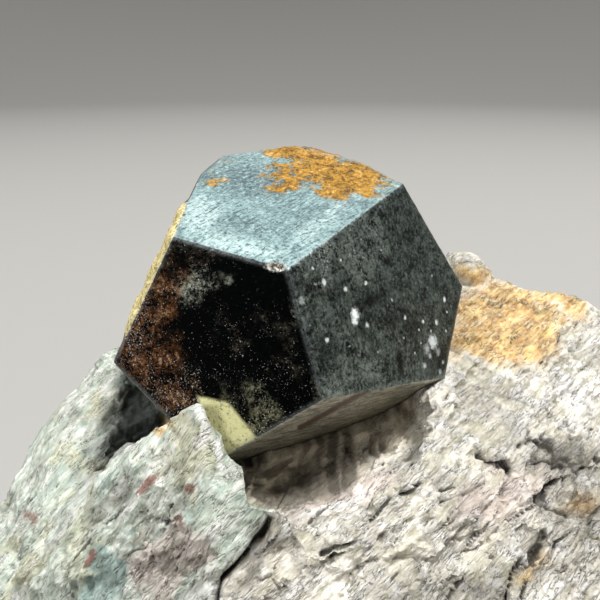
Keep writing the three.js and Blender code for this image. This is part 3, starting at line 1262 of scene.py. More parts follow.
@dataclass
class Crystal:
    """The single pyrite crystal, worn at its edges and crusted on its faces."""

    node: str = "pyrite_crystal"
    slot: str = "pyrite"
    name: str = "pyrite_crystal_dressed"
    start_size: float = 60.0
    cuts: int = 47
    edge_wear: float = 0.07
    edge_reach: float = 0.3
    ripple_height: float = 0.012
    pit_depth: float = 0.05
    crust_height: float = 0.16
    straw_height: float = 0.38
    chip_depth: float = 0.42
    chip_front: tuple[float, float] = (-9.2, -8.5)
    edge_line: tuple[float, float] = (0.02, 0.26)
    streak_width_px: tuple[float, float] = (1.0, 6.5)
    stray_reach: float = 1.5
    stray_size: float = 1.6

    def build(self) -> bpy.types.Object:
        """Models the crystal and gives it its finish.

        Returns:
            The finished piece.
        """
        piece = self.cut_faces()
        self.wear(piece)
        self.mark(piece)
        hand_over(piece, PyriteFinish().build(), self.node)
        return piece

    def cut_faces(self) -> bpy.types.Object:
        """Cuts the faces from a cube one plane after another, then divides them finely.

        Returns:
            The new piece.
        """
        deselect_all()
        bpy.ops.mesh.primitive_cube_add(size=self.start_size * MM, location=tuple(CENTRE))
        piece = bpy.context.object
        piece.name = self.name
        bpy.ops.object.transform_apply(location=True, rotation=True, scale=True)
        bpy.ops.object.mode_set(mode="EDIT")
        for normal, reach in zip(PLANES.normals, PLANES.reaches):
            bpy.ops.mesh.select_all(action="SELECT")
            bpy.ops.mesh.bisect(plane_co=tuple(to_frame(normal * reach)), plane_no=tuple(normal),
                                use_fill=True, clear_outer=True, threshold=1e-7)
        bpy.ops.mesh.select_all(action="SELECT")
        bpy.ops.mesh.remove_doubles(threshold=TINY)
        bpy.ops.mesh.normals_make_consistent(inside=False)
        bpy.ops.mesh.poke()
        bpy.ops.mesh.subdivide(number_cuts=self.cuts)
        bpy.ops.object.mode_set(mode="OBJECT")
        bpy.ops.object.shade_smooth()
        return piece

    def wear(self, piece: bpy.types.Object) -> None:
        """Rounds the edges, bites out the chip and raises the crusts.

        Args:
            piece: The crystal with sharp edges.
        """
        points = to_local(read_vectors(piece.data.vertices, "co"))
        heights = PLANES.heights(points)
        owner, neighbour = np.argsort(-heights, axis=1)[:, :2].T
        outward = PLANES.normals[owner]
        over_edge = unit(outward + PLANES.normals[neighbour])
        rows = np.arange(len(points))
        to_edge = heights[rows, owner] - heights[rows, neighbour]
        bite = 0.6 + 0.9 * np.abs(layered_noise(points / 0.9, 11, 3))
        sunk = self.edge_wear * bite * (1 - soft_step(to_edge, 0, self.edge_reach)) + self.chip(points)
        raised = self.raised(points)
        write_points(piece, points - over_edge * sunk[:, None] + outward * raised[:, None])

    def raised(self, points: np.ndarray) -> np.ndarray:
        """Works out how far ripples, tiny pits and crusts raise the faces.

        Args:
            points: Places, shape (n, 3).

        Returns:
            One height a place.
        """
        ripple = self.ripple_height * layered_noise(points / 1.6, 21, 3)
        pits = self.pit_depth * soft_step(layered_noise(points / 0.7, 31, 2), 0.42, 0.62)
        crust = soft_step(LIMONITE.cover(points, self.strayed(points)), 0.3, 0.8)
        crust *= soft_step(layered_noise(points / 1.1, 41, 3), -0.35, 0.3)
        rough = 0.6 + 0.5 * layered_noise(points / 0.45, 51, 2)
        lump = 0.2 + 1.1 * np.abs(layered_noise(points / 1.5, 61, 3))
        raised = self.crust_height * crust * rough + self.straw_height * self.straw(points) * lump
        return raised + ripple - pits

    def strayed(self, points: np.ndarray) -> np.ndarray:
        """Returns the places moved a little, for ragged outlines."""
        return stray(points, self.stray_reach, self.stray_size)

    def straw(self, points: np.ndarray) -> np.ndarray:
        """Returns one where the straw-yellow crust lies on the left faces, and zero elsewhere."""
        _column, row, _depth = VIEW.pixels(points)
        stretch = soft_step(row, *STRAW_ROWS_PX[0]) * (1 - soft_step(row, *STRAW_ROWS_PX[1]))
        return PLANES.owned(points, (Side.LEFT, Side.BROKEN_LEFT)) * stretch

    def chip(self, points: np.ndarray) -> np.ndarray:
        """Works out how deep the chip in the top edge is.

        Args:
            points: Places, shape (n, 3).

        Returns:
            One depth a place.
        """
        column, row, _depth = VIEW.pixels(points)
        jag = 2.0 * layered_noise(points / 0.35, 71, 2)
        inside = soft_step(CHIP.depth(column, row + jag), 0.0, 0.5)
        return self.chip_depth * inside * (1 - soft_step(points[:, 1], *self.chip_front))

    def mark(self, piece: bpy.types.Object) -> None:
        """Keeps on the mesh which face is which and where each crust or stain lies.

        Args:
            piece: The crystal in its final shape.
        """
        middles = to_local(read_vectors(piece.data.polygons, "center"))
        for side, parts in MARKED_SIDES:
            store(piece, f"face_{side.value}", PLANES.owned(middles, parts), Domain.FACE)
        points = to_local(read_vectors(piece.data.vertices, "co"))
        strayed = self.strayed(points)
        marks = {paint.name: paint.cover(points, strayed) for paint in CRYSTAL_PAINTS}
        heights = np.sort(PLANES.heights(points), axis=1)
        marks["edge"] = 1 - soft_step(heights[:, -1] - heights[:, -2], *self.edge_line)
        marks["straw"] = self.straw(points)
        marks["chip"] = np.clip(3.5 * self.chip(points) / self.chip_depth, 0, 1)
        column, row, _depth = VIEW.pixels(points)
        sparkling = soft_step(row - 0.35 * (column - 200), *SPARKLING_ROWS_PX)
        marks["low_left"] = sparkling * PLANES.touching(points, Side.LEFT_FRONT)
        gap, _side = from_line(points, BROWN_STREAK_PX)
        brown = 1 - soft_step(gap, *self.streak_width_px)
        marks["brown"] = brown * PLANES.touching(points, Side.UNDERSIDE)
        for name, values in marks.items():
            store(piece, name, values)


# Rock


class SchistFinish(Shader):
    """Broken mica schist: dull scaly rock whose flakes catch the light along the grain."""

    CREAM = "#e2dccf"
    WHITE = "#f8f6f1"
    OLIVE = "#b7b39c"
    SHADOW = "#7b7566"
    GREEN = "#adb8a8"
    GREEN_PALE = "#cdd4c8"
    GREEN_DEEP = "#93a69d"
    TEAL = "#86a09b"
    YELLOWISH = "#e3dcab"
    HOLLOW_SHADOW = "#1d2524"
    VIOLET = "#d3c0b6"
    STAIN_LIGHT = "#fbd585"
    STAIN_DEEP = "#cd974c"
    STAIN_PALE = "#f0dcae"
    RED = "#8a4a3a"
    CRACK_SHADE = "#2b251c"
    DEEP_SHADOW = "#4a4437"
    RECESS_DUST = "#cfc4b0"
    RECESS_SHADE = "#5c5345"

    STREAK_SIZE = (1.9, 1.0, 0.45)
    FIBRE_SIZE = (0.5, 0.3, 0.15)
    BAND_SIZE = (12.0, 0.9, 0.8)
    CREASE_SIZE = (1.9, 0.9, 0.36)
    FLAKE_SIZE = (0.85, 0.5, 0.26)
    CHIP_SIZE = (0.36, 0.22, 0.13)

    def __init__(self, front: Axes, right: Axes) -> None:
        """Draws the patterns that follow the grain.

        Args:
            front: The directions along, across and through the grain of the front block.
            right: The same for the rock on the right.
        """
        super().__init__("mica_schist")
        share = self.fade(self.mark("green"), 0.45, 0.55)
        grains = self.add("ShaderNodeMix", {"data_type": "VECTOR"}, in0=share, in4=self.along(right),
                          in5=self.along(front))
        self.grain = grains.outputs[1]
        self.streaks = self.cloud(1.0, 5.0, 0.62, 0.5, self.scaled(self.STREAK_SIZE))
        self.fibres = self.cloud(1.0, 5.0, 0.75, 0.4, self.scaled(self.FIBRE_SIZE))
        self.bands = self.cloud(1.0, 5.0, 0.6, 0.4, self.scaled(self.BAND_SIZE))
        self.broad = self.cloud(4.5)
        self.blotch = self.cloud(1.1, 5.0, 0.7)
        self.fine = self.cloud(0.16, 3.0, 0.8)
        self.creases = self.thin_lines(self.CREASE_SIZE)

    def scaled(self, sizes: Triple) -> Value:
        """Returns grain coordinates in which one unit is one grain of the given size."""
        factors = tuple(1 / size for size in sizes)
        return self.add("ShaderNodeVectorMath", {"operation": "MULTIPLY"}, in0=self.grain,
                        in1=factors).outputs[0]

    def thin_lines(self, sizes: Triple) -> Value:
        """Draws thin winding lines along the grain.

        Args:
            sizes: How far apart they are along, across and through the grain.

        Returns:
            Zero on a line and one between the lines.
        """
        value = self.cloud(1.0, 3.0, 0.65, place=self.scaled(sizes))
        centred = self.weigh((value, 1.0), base=-0.5)
        away = self.add("ShaderNodeMath", {"operation": "ABSOLUTE"}, in0=centred)
        return self.fade(away.outputs[0], 0.0, 0.1, "LINEAR")

    def flakes(self, sizes: Triple) -> tuple[Value, Value]:
        """Scatters flakes along the grain.

        Args:
            sizes: A flake's sizes along, across and through the grain.

        Returns:
            Each flake's height and its tone, from zero to one.
        """
        place = self.scaled(sizes)
        twist = self.add("ShaderNodeTexNoise", Vector=place, Scale=1.6, Detail=2.0)
        moved = self.add("ShaderNodeVectorMath", {"operation": "MULTIPLY_ADD"},
                         in0=twist.outputs["Color"], in1=(0.7, 0.7, 0.7), in2=place)
        cells = self.add("ShaderNodeTexVoronoi", {"feature": "F1"}, Vector=moved.outputs[0], Scale=1.0)
        chance = self.add("ShaderNodeSeparateColor", Color=cells.outputs["Color"])
        height = self.weigh((chance.outputs[0], 1.0), (cells.outputs["Distance"], -0.5))
        return height, chance.outputs[1]

    def build(self) -> bpy.types.Material:
        """Builds the material.

        Returns:
            The finished material.
        """
        flake_height, flake_tone = self.flakes(self.FLAKE_SIZE)
        chip_height, chip_tone = self.flakes(self.CHIP_SIZE)
        colour = self.lay(self.warm_rock(), self.cool_rock(), self.fade(
            self.weigh((self.mark("green"), 1.0), (self.broad, 0.6)), 0.55, 1.15))
        colour = self.stained(colour)
        tone = self.weigh((flake_tone, 0.6), (chip_tone, 0.4))
        colour = self.lay(colour, self.WHITE, self.fade(tone, 0.62, 0.9), 0.2)
        colour = self.lay(colour, self.SHADOW, self.fade(tone, 0.36, 0.1), 0.2)
        colour = self.shaded(colour)

        relief = self.weigh((self.streaks, 0.7), (self.fibres, 0.7), (self.fine, 0.3), (self.creases, 0.35),
                            (flake_height, 0.8), (chip_height, 0.22))
        patchy = self.fade(self.cloud(2.2, 2.0), 0.42, 0.58)
        lively = self.weigh((self.where_any(patchy, self.mark("broken")), 0.6), base=0.4)
        unworn = self.weigh((self.mark("worn"), -0.7), base=1.0)
        rough = self.weigh((self.streaks, 0.45), base=0.5)
        return self.finish(colour, rough, 0.0, self.where_all(relief, lively, unworn), 1.0, 0.3)

    def warm_rock(self) -> Value:
        """Draws the cream rock on the right.

        Returns:
            Its colour.
        """
        colour = self.lay(self.OLIVE, self.CREAM, self.fade(self.streaks, 0.32, 0.54))
        colour = self.lay(colour, self.OLIVE, self.fade(self.broad, 0.5, 0.4), 0.5)
        return self.lay(colour, self.WHITE, self.fade(self.blotch, 0.47, 0.6), 0.8)

    def cool_rock(self) -> Value:
        """Draws the banded grey-green rock of the front block and the left lobe.

        Returns:
            Its colour.
        """
        colour = self.lay(self.GREEN, self.GREEN_PALE, self.fade(self.streaks, 0.36, 0.6))
        colour = self.lay(colour, self.GREEN_DEEP, self.fade(self.blotch, 0.42, 0.32))
        colour = self.lay(colour, self.WHITE, self.fade(self.bands, 0.5, 0.62), 0.65)
        colour = self.lay(colour, self.GREEN_DEEP, self.fade(self.bands, 0.44, 0.34), 0.7)
        colour = self.lay(colour, self.YELLOWISH, self.fade(self.broad, 0.52, 0.64), 0.4)
        teal = self.weigh((self.mark("teal"), 1.0), (self.streaks, 0.6))
        return self.lay(colour, self.TEAL, self.fade(teal, 0.6, 1.1), 0.8)

    def stained(self, colour: Value) -> Value:
        """Adds violet and white areas, iron stain and reddish spots.

        Args:
            colour: The bare rock's colour.

        Returns:
            The colour with them.
        """
        violet = self.weigh((self.mark("violet"), 1.0), (self.blotch, 0.9))
        colour = self.lay(colour, self.VIOLET, self.fade(violet, 0.6, 1.2), 0.65)
        white = self.weigh((self.mark("white"), 1.0), (self.streaks, 0.8))
        colour = self.lay(colour, self.WHITE, self.fade(white, 0.6, 1.3), 0.75)
        iron = self.weigh((self.mark("iron"), 1.0), (self.blotch, 1.1))
        tone = self.lay(self.STAIN_DEEP, self.STAIN_LIGHT, self.fade(self.streaks, 0.36, 0.62))
        tone = self.lay(tone, self.STAIN_PALE, self.fade(self.blotch, 0.54, 0.66))
        colour = self.lay(colour, tone, self.fade(iron, 0.8, 1.5), 0.85)
        rose = self.weigh((self.mark("rose"), 1.0), (self.fine, 1.2), (self.streaks, 0.8))
        return self.lay(colour, self.RED, self.fade(rose, 1.5, 1.9), 0.8)

    def shaded(self, colour: Value) -> Value:
        """Adds dark creases of painted shade, pepper and salt, the hollow's painted shadow, painted shade in
        broken rock and in cracks and pits, and the dusty ribbed recess with its painted shade.

        Args:
            colour: The colour so far.

        Returns:
            The colour with them.
        """
        low = self.weigh((self.mark("relief"), 1.0), (self.fibres, 0.5))
        colour = self.lay(colour, self.SHADOW, self.fade(low, 0.30, -0.55), 0.4)
        lines = self.where_all(self.fade(self.creases, 0.36, 0.0), self.fade(self.blotch, 0.42, 0.56))
        colour = self.lay(colour, self.DEEP_SHADOW, lines, 0.85)
        colour = self.lay(colour, self.SHADOW, self.fade(self.fine, 0.42, 0.30), 0.2)
        colour = self.lay(colour, self.WHITE, self.fade(self.fine, 0.58, 0.7), 0.2)
        # Painted shadow in the hollow behind the peak.
        colour = self.lay(colour, self.HOLLOW_SHADOW, self.mark("hollow"), 0.88)
        # Painted shade in the creases of finely broken rock, and where the shade mark lies.
        crease_shade = self.where_all(self.mark("broken"), self.fade(self.creases, 0.6, 0.1), 0.55)
        shade = self.where_all(self.mark("shade"), self.fade(self.blotch, 0.3, 0.5))
        colour = self.lay(colour, self.DEEP_SHADOW, self.where_any(shade, crease_shade), 0.8)
        # Painted shade in cracks, splits and pits.
        painted_shade = self.weigh((self.mark("crack"), 1.0), (self.blotch, 0.6))
        colour = self.lay(colour, self.CRACK_SHADE, self.fade(painted_shade, 0.5, 1.05), 0.85)
        # The recess: ribs between painted shade and dusty beige, and the overhang's painted shadow.
        rib = self.weigh((self.mark("rib"), 1.0), (self.fine, 0.8))
        ribbed = self.lay(self.RECESS_SHADE, self.RECESS_DUST, self.fade(rib, 0.0, 1.0))
        ribbed = self.lay(ribbed, self.DEEP_SHADOW, self.mark("overhang_shadow"), 0.6)
        return self.lay(colour, ribbed, self.mark("recess"), 0.92)


@dataclass(frozen=True)
class Ground:
    """The rock's surface before it is carved: one row or one number for each vertex."""

    points: np.ndarray
    normals: np.ndarray
    seen: np.ndarray
    front: np.ndarray
    wander: np.ndarray
    grain: np.ndarray
    bent: np.ndarray


class Course(Enum):
    """What a kind of relief follows."""

    GRAIN = "ridges along the grain"
    FLAKES = "flakes along the bent grain"
    EVERY_WAY = "ridges in every direction"


@dataclass(frozen=True)
class Relief:
    """One kind of relief: its sizes along, across and through the grain, its height and its shading.

    On the front block its height and shading change by on_front and front_shading, and where the rock
    is finely broken its height changes by where_broken.
    """

    course: Course
    size: Triple
    seed: int
    layers: int = 3
    height: float = 0.0
    on_front: float = 0.0
    where_broken: float = 0.0
    shading: float = 0.0
    front_shading: float = 0.0

    def shape(self, ground: Ground) -> np.ndarray:
        """Works out the relief's form.

        Args:
            ground: The rock's surface.

        Returns:
            One number a vertex, from about -1 to 1.
        """
        size = np.array(self.size)
        if self.course is Course.FLAKES:
            return flake_heights(ground.bent / size, self.seed)
        crumpled = ground.points + 0.4 * ground.wander[:, None]
        places = ground.grain if self.course is Course.GRAIN else crumpled
        return ridges(places / size, self.seed, self.layers)


FOLDS = Relief(Course.GRAIN, (5.6, 1.6, 0.7), 17, height=0.22, shading=0.4)
DRAPES = Relief(Course.GRAIN, (11.0, 1.5, 1.1), 29, 4, on_front=0.4, front_shading=0.8)
SCALES = Relief(Course.GRAIN, (1.1, 0.75, 0.3), 19, 2, height=0.12, where_broken=0.12, shading=0.5)
SLABS = Relief(Course.FLAKES, (3.0, 2.2, 1.3), 27, height=0.24, on_front=-0.1, shading=0.4,
               front_shading=-0.3)
FLAKES = Relief(Course.FLAKES, (1.25, 0.85, 0.5), 67, height=0.15, on_front=-0.06, where_broken=0.1,
                shading=0.5)
CRUMPLE = Relief(Course.EVERY_WAY, (0.85, 0.85, 0.85), 47, height=0.07, where_broken=0.13, shading=0.4)
RELIEFS = (FOLDS, DRAPES, SCALES, SLABS, FLAKES, CRUMPLE)


@dataclass(frozen=True)
class CalmPlace:
    """A ball in which the rock is smooth: its middle, its radius and how smooth it is."""

    place: Triple
    radius: float
    strength: float


# The peak, the facet beside it and the knob on the skyline.
CALM_PLACES = (
    CalmPlace((-4.2, -11.5, 0.2), 4.6, 0.85),
    CalmPlace((-1.8, -14.3, -4.2), 3.8, 0.8),
    CalmPlace((15.4, 8.6, 1.0), 4.0, 0.85),
)


@dataclass
class MatrixRock:
    """The piece of schist: broken along its cleavage, scaly and fissured."""

    node: str = "schist_matrix"
    slot: str = "schist"
    name: str = "schist_matrix_dressed"
    coarse: float = 0.68
    rounds: int = 2
    near_margin_px: float = 16.0
    near_depth: float = 56.0
    smooth_angle: float = 50.0
    contact_gap: float = 0.05
    wall_reach: float = 0.42
    free_range: tuple[float, float] = (0.45, 1.2)
    foot_range: tuple[float, float] = (0.02, 0.8)
    layer: float = 1.15
    ledge_height: float = 0.22
    lump_height: float = 0.27
    grit_height: float = 0.03
    split_depth: float = 0.26
    broken_depth: float = 0.08
    sunk: float = 0.12
    rib_size: Triple = (0.9, 3.0, 2.6)
    rib_height: float = 0.2
    recess_depth: float = 0.3
    peak_place: Triple = (-4.05, -11.6, -0.3)
    peak_rise: float = 0.75
    peak_reach: float = 1.6
    knob_place: Triple = (15.4, 8.7, 0.45)
    knob_radius: float = 1.8
    knob_roundness: float = 0.8
    cleavage: Triple = (-0.68, 0.61, 0.39)
    grain_front: Triple = (0.57, 0.096, 0.846)
    grain_right: Triple = (0.85, 0.785, 0.254)
    stray_reach: float = 1.3
    stray_size: float = 2.2

    def build(self) -> bpy.types.Object:
        """Models the rock and gives it its finish.

        Returns:
            The finished piece.
        """
        piece = self.copy_node()
        guide = bpy.data.objects.new("rock_guide", piece.data.copy())
        bpy.context.scene.collection.objects.link(guide)
        apply_modifier(piece, "REMESH", {"mode": "VOXEL", "voxel_size": self.coarse * MM})
        for _round in range(self.rounds):
            self.divide_near(piece)
        # The fine faces are drawn back onto the sharp form that the guide keeps.
        apply_modifier(piece, "SHRINKWRAP", {"target": guide, "wrap_method": "NEAREST_SURFACEPOINT"})
        apply_modifier(piece, "SMOOTH", {"factor": 0.5, "iterations": 1})
        bpy.data.objects.remove(guide)
        self.round_knob(piece)
        self.carve(piece)
        activate(piece)
        bpy.ops.object.shade_smooth_by_angle(angle=math.radians(self.smooth_angle))
        finish = SchistFinish(self.axes(self.grain_front), self.axes(self.grain_right))
        hand_over(piece, finish.build(), self.node)
        return piece

    def axes(self, grain: Triple) -> Axes:
        """Returns the directions along a grain, across it, and through the layers."""
        return plane_axes(unit(np.array(self.cleavage)), grain)

    def copy_node(self) -> bpy.types.Object:
        """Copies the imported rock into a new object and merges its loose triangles.

        Returns:
            The new piece.
        """
        piece = bpy.data.objects.new(self.name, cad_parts[self.node].data.copy())
        bpy.context.scene.collection.objects.link(piece)
        activate(piece)
        bpy.ops.object.mode_set(mode="EDIT")
        bpy.ops.mesh.select_all(action="SELECT")
        bpy.ops.mesh.remove_doubles(threshold=TINY)
        bpy.ops.object.mode_set(mode="OBJECT")
        return piece

    def divide_near(self, piece: bpy.types.Object) -> None:
        """Divides the faces that the photograph shows.

        Args:
            piece: The rock in the making.
        """
        points = to_local(read_vectors(piece.data.vertices, "co"))
        normals = read_vectors(piece.data.vertices, "normal")
        column, row, depth = VIEW.pixels(points)
        low, high = -self.near_margin_px, VIEW.size_px + self.near_margin_px
        seen = (column > low) & (column < high) & (row < high) & (depth < self.near_depth)
        seen &= VIEW.facing(points, normals) > -0.1
        select_faces(piece, np.array([seen[list(face.vertices)].all() for face in piece.data.polygons]))
        bpy.ops.mesh.subdivide(number_cuts=1)
        bpy.ops.object.mode_set(mode="OBJECT")

    def round_knob(self, piece: bpy.types.Object) -> None:
        """Rounds the knob on the skyline, which is smoother than the broken rock around it.

        Args:
            piece: The rock in the making.
        """
        points = to_local(read_vectors(piece.data.vertices, "co"))
        away = points - np.array(self.knob_place)
        gap = np.linalg.norm(away, axis=1)
        weight = self.knob_roundness * (1 - soft_step(gap, self.knob_radius, 2 * self.knob_radius))
        stretch = self.knob_radius / np.maximum(gap, 0.1) - 1
        write_points(piece, points + away * (stretch * weight)[:, None])

    def survey(self, piece: bpy.types.Object) -> Ground:
        """Reads the rock's surface and lays its grain.

        Args:
            piece: The rock before it is carved.

        Returns:
            What the relief is worked out from.
        """
        points = to_local(read_vectors(piece.data.vertices, "co"))
        normals = read_vectors(piece.data.vertices, "normal")
        seen = VIEW.shown(points, normals)
        # The greener front block and the left lobe lie left of the crevice, with a grain of their own.
        _gap, side = from_line(points, CREVICE.line)
        swing = 2.2 * layered_noise(points / 6.0, 91, 2)
        front = np.where(seen > 0.05, soft_step(side, -10, 10), soft_step(2 * swing - points[:, 0], -8, 8))
        wander = layered_noise(points / 4.5, 3, 3)
        right_grain, front_grain = (points @ np.stack(self.axes(grain)).T
                                    for grain in (self.grain_right, self.grain_front))
        grain = np.where(front[:, None] > 0.5, front_grain, right_grain)
        grain[:, 2] += 0.9 * wander
        bends = [layered_noise(points / 1.4, 57 + axis, 2) for axis in range(3)]
        return Ground(points, normals, seen, front, wander, grain, grain + 0.35 * np.stack(bends, axis=1))

    def carve(self, piece: bpy.types.Object) -> None:
        """Works the relief into the rock, closes it onto the crystal and keeps its marks.

        Args:
            piece: The rock before it is carved.
        """
        ground = self.survey(piece)
        marks = self.marks(ground)
        block = ground.front * ground.seen
        calm = self.calm(ground.points) * (1 - 0.6 * marks["worn"])
        split = self.splits(ground)
        height = self.coarse_height(ground) - self.split_depth * split - self.broken_depth * marks["broken"]
        shading = np.zeros(len(height))
        for relief in RELIEFS:
            shape = relief.shape(ground)
            change = relief.on_front * block + relief.where_broken * marks["broken"]
            height += shape * (relief.height + change)
            shading += shape * (relief.shading + relief.front_shading * block)
        depth, painted_shade = self.cuts(ground)
        ribs = ridges(ground.points / np.array(self.rib_size) + 0.25 * ground.wander[:, None], 53, 3)
        height = height * calm - self.sunk - depth
        height += marks["recess"] * (self.rib_height * ribs - self.recess_depth)

        to_crystal = PLANES.heights(ground.points).max(axis=1)
        free = soft_step(to_crystal, *self.free_range)
        self.move(piece, ground, height * free, to_crystal)
        marks["relief"] = np.clip(shading * (0.5 + 0.5 * calm), -1, 1) * free
        # The crack mark carries the painted shade of splits, fissures and pits.
        marks["crack"] = np.clip(split * calm + painted_shade, 0, 1) * free
        marks["rib"] = np.clip(ribs, -1, 1)
        marks["green"] = ground.front
        for name, values in marks.items():
            store(piece, name, values)

    def marks(self, ground: Ground) -> dict[str, np.ndarray]:
        """Works out where each mark of the photograph lies on the rock.

        Args:
            ground: The rock's surface.

        Returns:
            The marks by name, one number a vertex.
        """
        strayed = stray(ground.points, self.stray_reach, self.stray_size)
        firm = soft_step(ground.seen, 0.0, 0.5)
        return {paint.name: paint.cover(ground.points, strayed) * (firm if paint.firm else ground.seen)
                for paint in ROCK_PAINTS}

    def calm(self, points: np.ndarray) -> np.ndarray:
        """Works out how little relief the smooth places have.

        Args:
            points: Places, shape (n, 3).

        Returns:
            One where the relief is full, and less in the smooth places.
        """
        calm = np.ones(len(points))
        for part in CALM_PLACES:
            away = np.linalg.norm(points - np.array(part.place), axis=1)
            calm *= 1 - part.strength * (1 - soft_step(away, 0.4 * part.radius, part.radius))
        return calm

    def coarse_height(self, ground: Ground) -> np.ndarray:
        """Adds the ledges of the layers, lumps and grit.

        Args:
            ground: The rock's surface.

        Returns:
            One height a vertex.
        """
        layer = ground.grain[:, 2] / self.layer
        tooth = layer - np.floor(layer)
        ledge = np.minimum(tooth / 0.8, (1 - tooth) / 0.2) - 0.5
        patchy = soft_step(layered_noise(ground.points / 3.8, 13, 2), -0.3, 0.4)
        lumps = layered_noise(ground.points / 3.4, 23, 3)
        grit = layered_noise(ground.points / 0.4, 43, 2)
        return self.ledge_height * ledge * patchy + self.lump_height * lumps + self.grit_height * grit

    def splits(self, ground: Ground) -> np.ndarray:
        """Opens thin splits between some of the layers.

        Args:
            ground: The rock's surface.

        Returns:
            One in a split and zero elsewhere.
        """
        spacing = 2.3 * self.layer
        turns = ground.grain[:, 2] / spacing
        away = np.abs(turns - np.floor(turns) - 0.5) * spacing
        some = soft_step(layered_noise(ground.points / 1.9, 37, 2), 0.14, 0.34)
        return (1 - soft_step(away, 0.02, 0.13)) * some

    def cuts(self, ground: Ground) -> tuple[np.ndarray, np.ndarray]:
        """Shapes the fissures, ledges and pits that the photograph shows one by one.

        Args:
            ground: The rock's surface.

        Returns:
            How deep each vertex sinks, and how much painted shade darkens it, from zero to one.
        """
        column, row, _depth = VIEW.pixels(ground.points)
        jag = 2.6 * layered_noise(ground.points / 0.6, 83, 2)
        depth = np.zeros(len(jag))
        painted_shade = np.zeros(len(jag))
        for fissure in FISSURES:
            gap, side = from_line(ground.points, fissure.line)
            inside = 1 - soft_step(gap + jag, 0.0, fissure.width)
            depth = np.maximum(depth, fissure.depth * inside)
            painted_shade = np.maximum(painted_shade, fissure.painted_shade * inside)
            depth += fissure.step * np.where(side > 0, np.exp(-gap / fissure.fade), 0)
        for pit in PITS:
            inside = soft_step(pit.area.depth(column, row) + 0.04 * jag, -0.1, 0.7)
            depth = np.maximum(depth, pit.depth * inside)
            painted_shade = np.maximum(painted_shade, pit.painted_shade * inside)
        return depth * ground.seen, painted_shade * ground.seen

    def move(self, piece: bpy.types.Object, ground: Ground, height: np.ndarray,
             to_crystal: np.ndarray) -> None:
        """Moves the rock's surface, sharpens the peak's tip and keeps the foot flat.

        Args:
            piece: The rock.
            ground: Its surface.
            height: How far each vertex is raised.
            to_crystal: How far each vertex was from the crystal before.
        """
        floor = (CAD_BOX[0][2] - CENTRE[2]) / MM
        above_floor = ground.points[:, 2] - floor
        height = height * soft_step(above_floor, *self.foot_range)
        moved = ground.points + ground.normals * height[:, None]
        from_tip = np.linalg.norm(ground.points - np.array(self.peak_place), axis=1)
        moved[:, 2] += self.peak_rise * np.clip(1 - from_tip / self.peak_reach, 0, 1) ** 2
        moved = self.close_on_crystal(moved, to_crystal)
        moved[above_floor < self.foot_range[0], 2] = floor
        write_points(piece, moved)

    def close_on_crystal(self, points: np.ndarray, to_crystal: np.ndarray) -> np.ndarray:
        """Brings the socket's walls up to the crystal, and never into it.

        Args:
            points: Places, shape (n, 3).
            to_crystal: How far each place was from the crystal before it moved.

        Returns:
            The moved places.
        """
        heights = PLANES.heights(points)
        owner = np.argmax(heights, axis=1)
        gap = heights[np.arange(len(points)), owner]
        wall = to_crystal < self.wall_reach
        target = np.where(wall, self.contact_gap, np.maximum(gap, self.contact_gap))
        return points + PLANES.normals[owner] * (target - gap)[:, None]


# Studio


@dataclass(frozen=True)
class Lamp:
    """A soft square light: its direction and distance from the crystal and its size, both in metres."""

    name: str
    direction: Triple
    distance: float
    size: float
    watts: float


LAMPS = (
    Lamp("key_overhead", (0.36, -0.10, 0.93), 0.75, 0.12, 8.6),
    Lamp("fill_front_left", (-0.66, -0.58, 0.5), 0.80, 0.26, 4.3),
    Lamp("side_left", (-0.82, 0.1, 0.56), 0.80, 0.36, 1.2),
    Lamp("back_panel", (-0.02, 0.75, 0.72), 0.80, 0.45, 1.3),
)


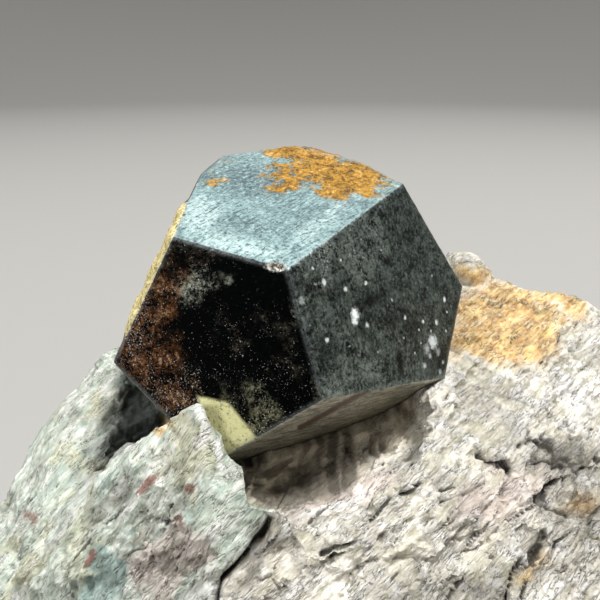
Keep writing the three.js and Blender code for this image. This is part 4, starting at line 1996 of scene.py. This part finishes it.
@dataclass
class Studio:
    """A round pale floor that curves up all round, soft lights, and the photograph's camera.

    Sizes are in metres, except the camera's sensor, which is in millimetres.
    """

    floor_colour: str = "#989692"
    floor_rough: float = 0.95
    room_colour: str = "#d6d9dd"
    room_strength: float = 0.22
    radius: float = 1.1
    wall_height: float = 0.9
    wall_bend: float = 0.45
    bend_segments: int = 18
    rim_segments: int = 160
    sensor_width: float = 36.0
    clip_start: float = 0.001

    def build(self) -> None:
        """Builds the floor, the lights, the world and the camera."""
        self.floor()
        for lamp in LAMPS:
            self.light(lamp)
        world = bpy.data.worlds.new("soft_room")
        world.use_nodes = True
        background = world.node_tree.nodes["Background"]
        background.inputs["Color"].default_value = linear(self.room_colour)
        background.inputs["Strength"].default_value = self.room_strength
        bpy.context.scene.world = world
        bpy.context.scene.view_settings.view_transform = "Standard"
        self.camera()

    def floor(self) -> None:
        """Makes the round floor sheet and bends its rim up into a low wall."""
        deselect_all()
        bpy.ops.mesh.primitive_cylinder_add(vertices=self.rim_segments, radius=self.radius,
                                            depth=self.wall_height, location=(0, 0, self.wall_height / 2))
        sheet = bpy.context.object
        sheet.name = "studio_floor"
        bpy.ops.object.transform_apply(location=True, rotation=True, scale=True)
        select_faces(sheet, read_vectors(sheet.data.polygons, "normal")[:, 2] > 0.5)
        bpy.ops.mesh.delete(type="FACE")
        bpy.ops.object.mode_set(mode="OBJECT")
        select_faces(sheet, read_vectors(sheet.data.polygons, "normal")[:, 2] < -0.5)
        bpy.ops.mesh.region_to_loop()
        bpy.ops.mesh.bevel(offset=self.wall_bend, segments=self.bend_segments, affect="EDGES")
        bpy.ops.mesh.select_all(action="SELECT")
        bpy.ops.mesh.flip_normals()
        bpy.ops.object.mode_set(mode="OBJECT")
        bpy.ops.object.shade_smooth()
        paper = Shader("matt_paper")
        paper.surface.inputs["Base Color"].default_value = linear(self.floor_colour)
        paper.surface.inputs["Roughness"].default_value = self.floor_rough
        sheet.data.materials.append(paper.material)

    def light(self, lamp: Lamp) -> None:
        """Hangs one soft square light that faces the crystal.

        Args:
            lamp: The light.
        """
        bulb = bpy.data.lights.new(lamp.name, "AREA")
        bulb.size = lamp.size
        bulb.energy = lamp.watts
        holder = bpy.data.objects.new(lamp.name, bulb)
        bpy.context.scene.collection.objects.link(holder)
        offset = Vector(lamp.direction).normalized() * lamp.distance
        holder.location = Vector(CENTRE) + offset
        holder.rotation_euler = offset.to_track_quat("Z", "Y").to_euler()

    def camera(self) -> None:
        """Sets the camera where the photograph was taken from."""
        lens = bpy.data.cameras.new("photo_camera")
        lens.sensor_width = self.sensor_width
        lens.lens = self.sensor_width * VIEW.focal_px / VIEW.size_px
        lens.clip_start = self.clip_start
        holder = bpy.data.objects.new("photo_camera", lens)
        bpy.context.scene.collection.objects.link(holder)
        holder.location = Vector(to_frame(np.array(VIEW.place)))
        holder.rotation_euler = (math.radians(90 - VIEW.pitch_degrees), 0, 0)
        bpy.context.scene.camera = holder


def main() -> None:
    """Builds the specimen piece by piece, then the studio around it."""
    logging.basicConfig(level=logging.INFO, format="%(message)s")
    for maker in (Crystal(), MatrixRock()):
        piece = maker.build()
        triangles = sum(len(face.vertices) - 2 for face in piece.data.polygons)
        LOG.info("%s: %d triangles", piece.name, triangles)
    Studio().build()


if __name__ == "__main__":
    main()
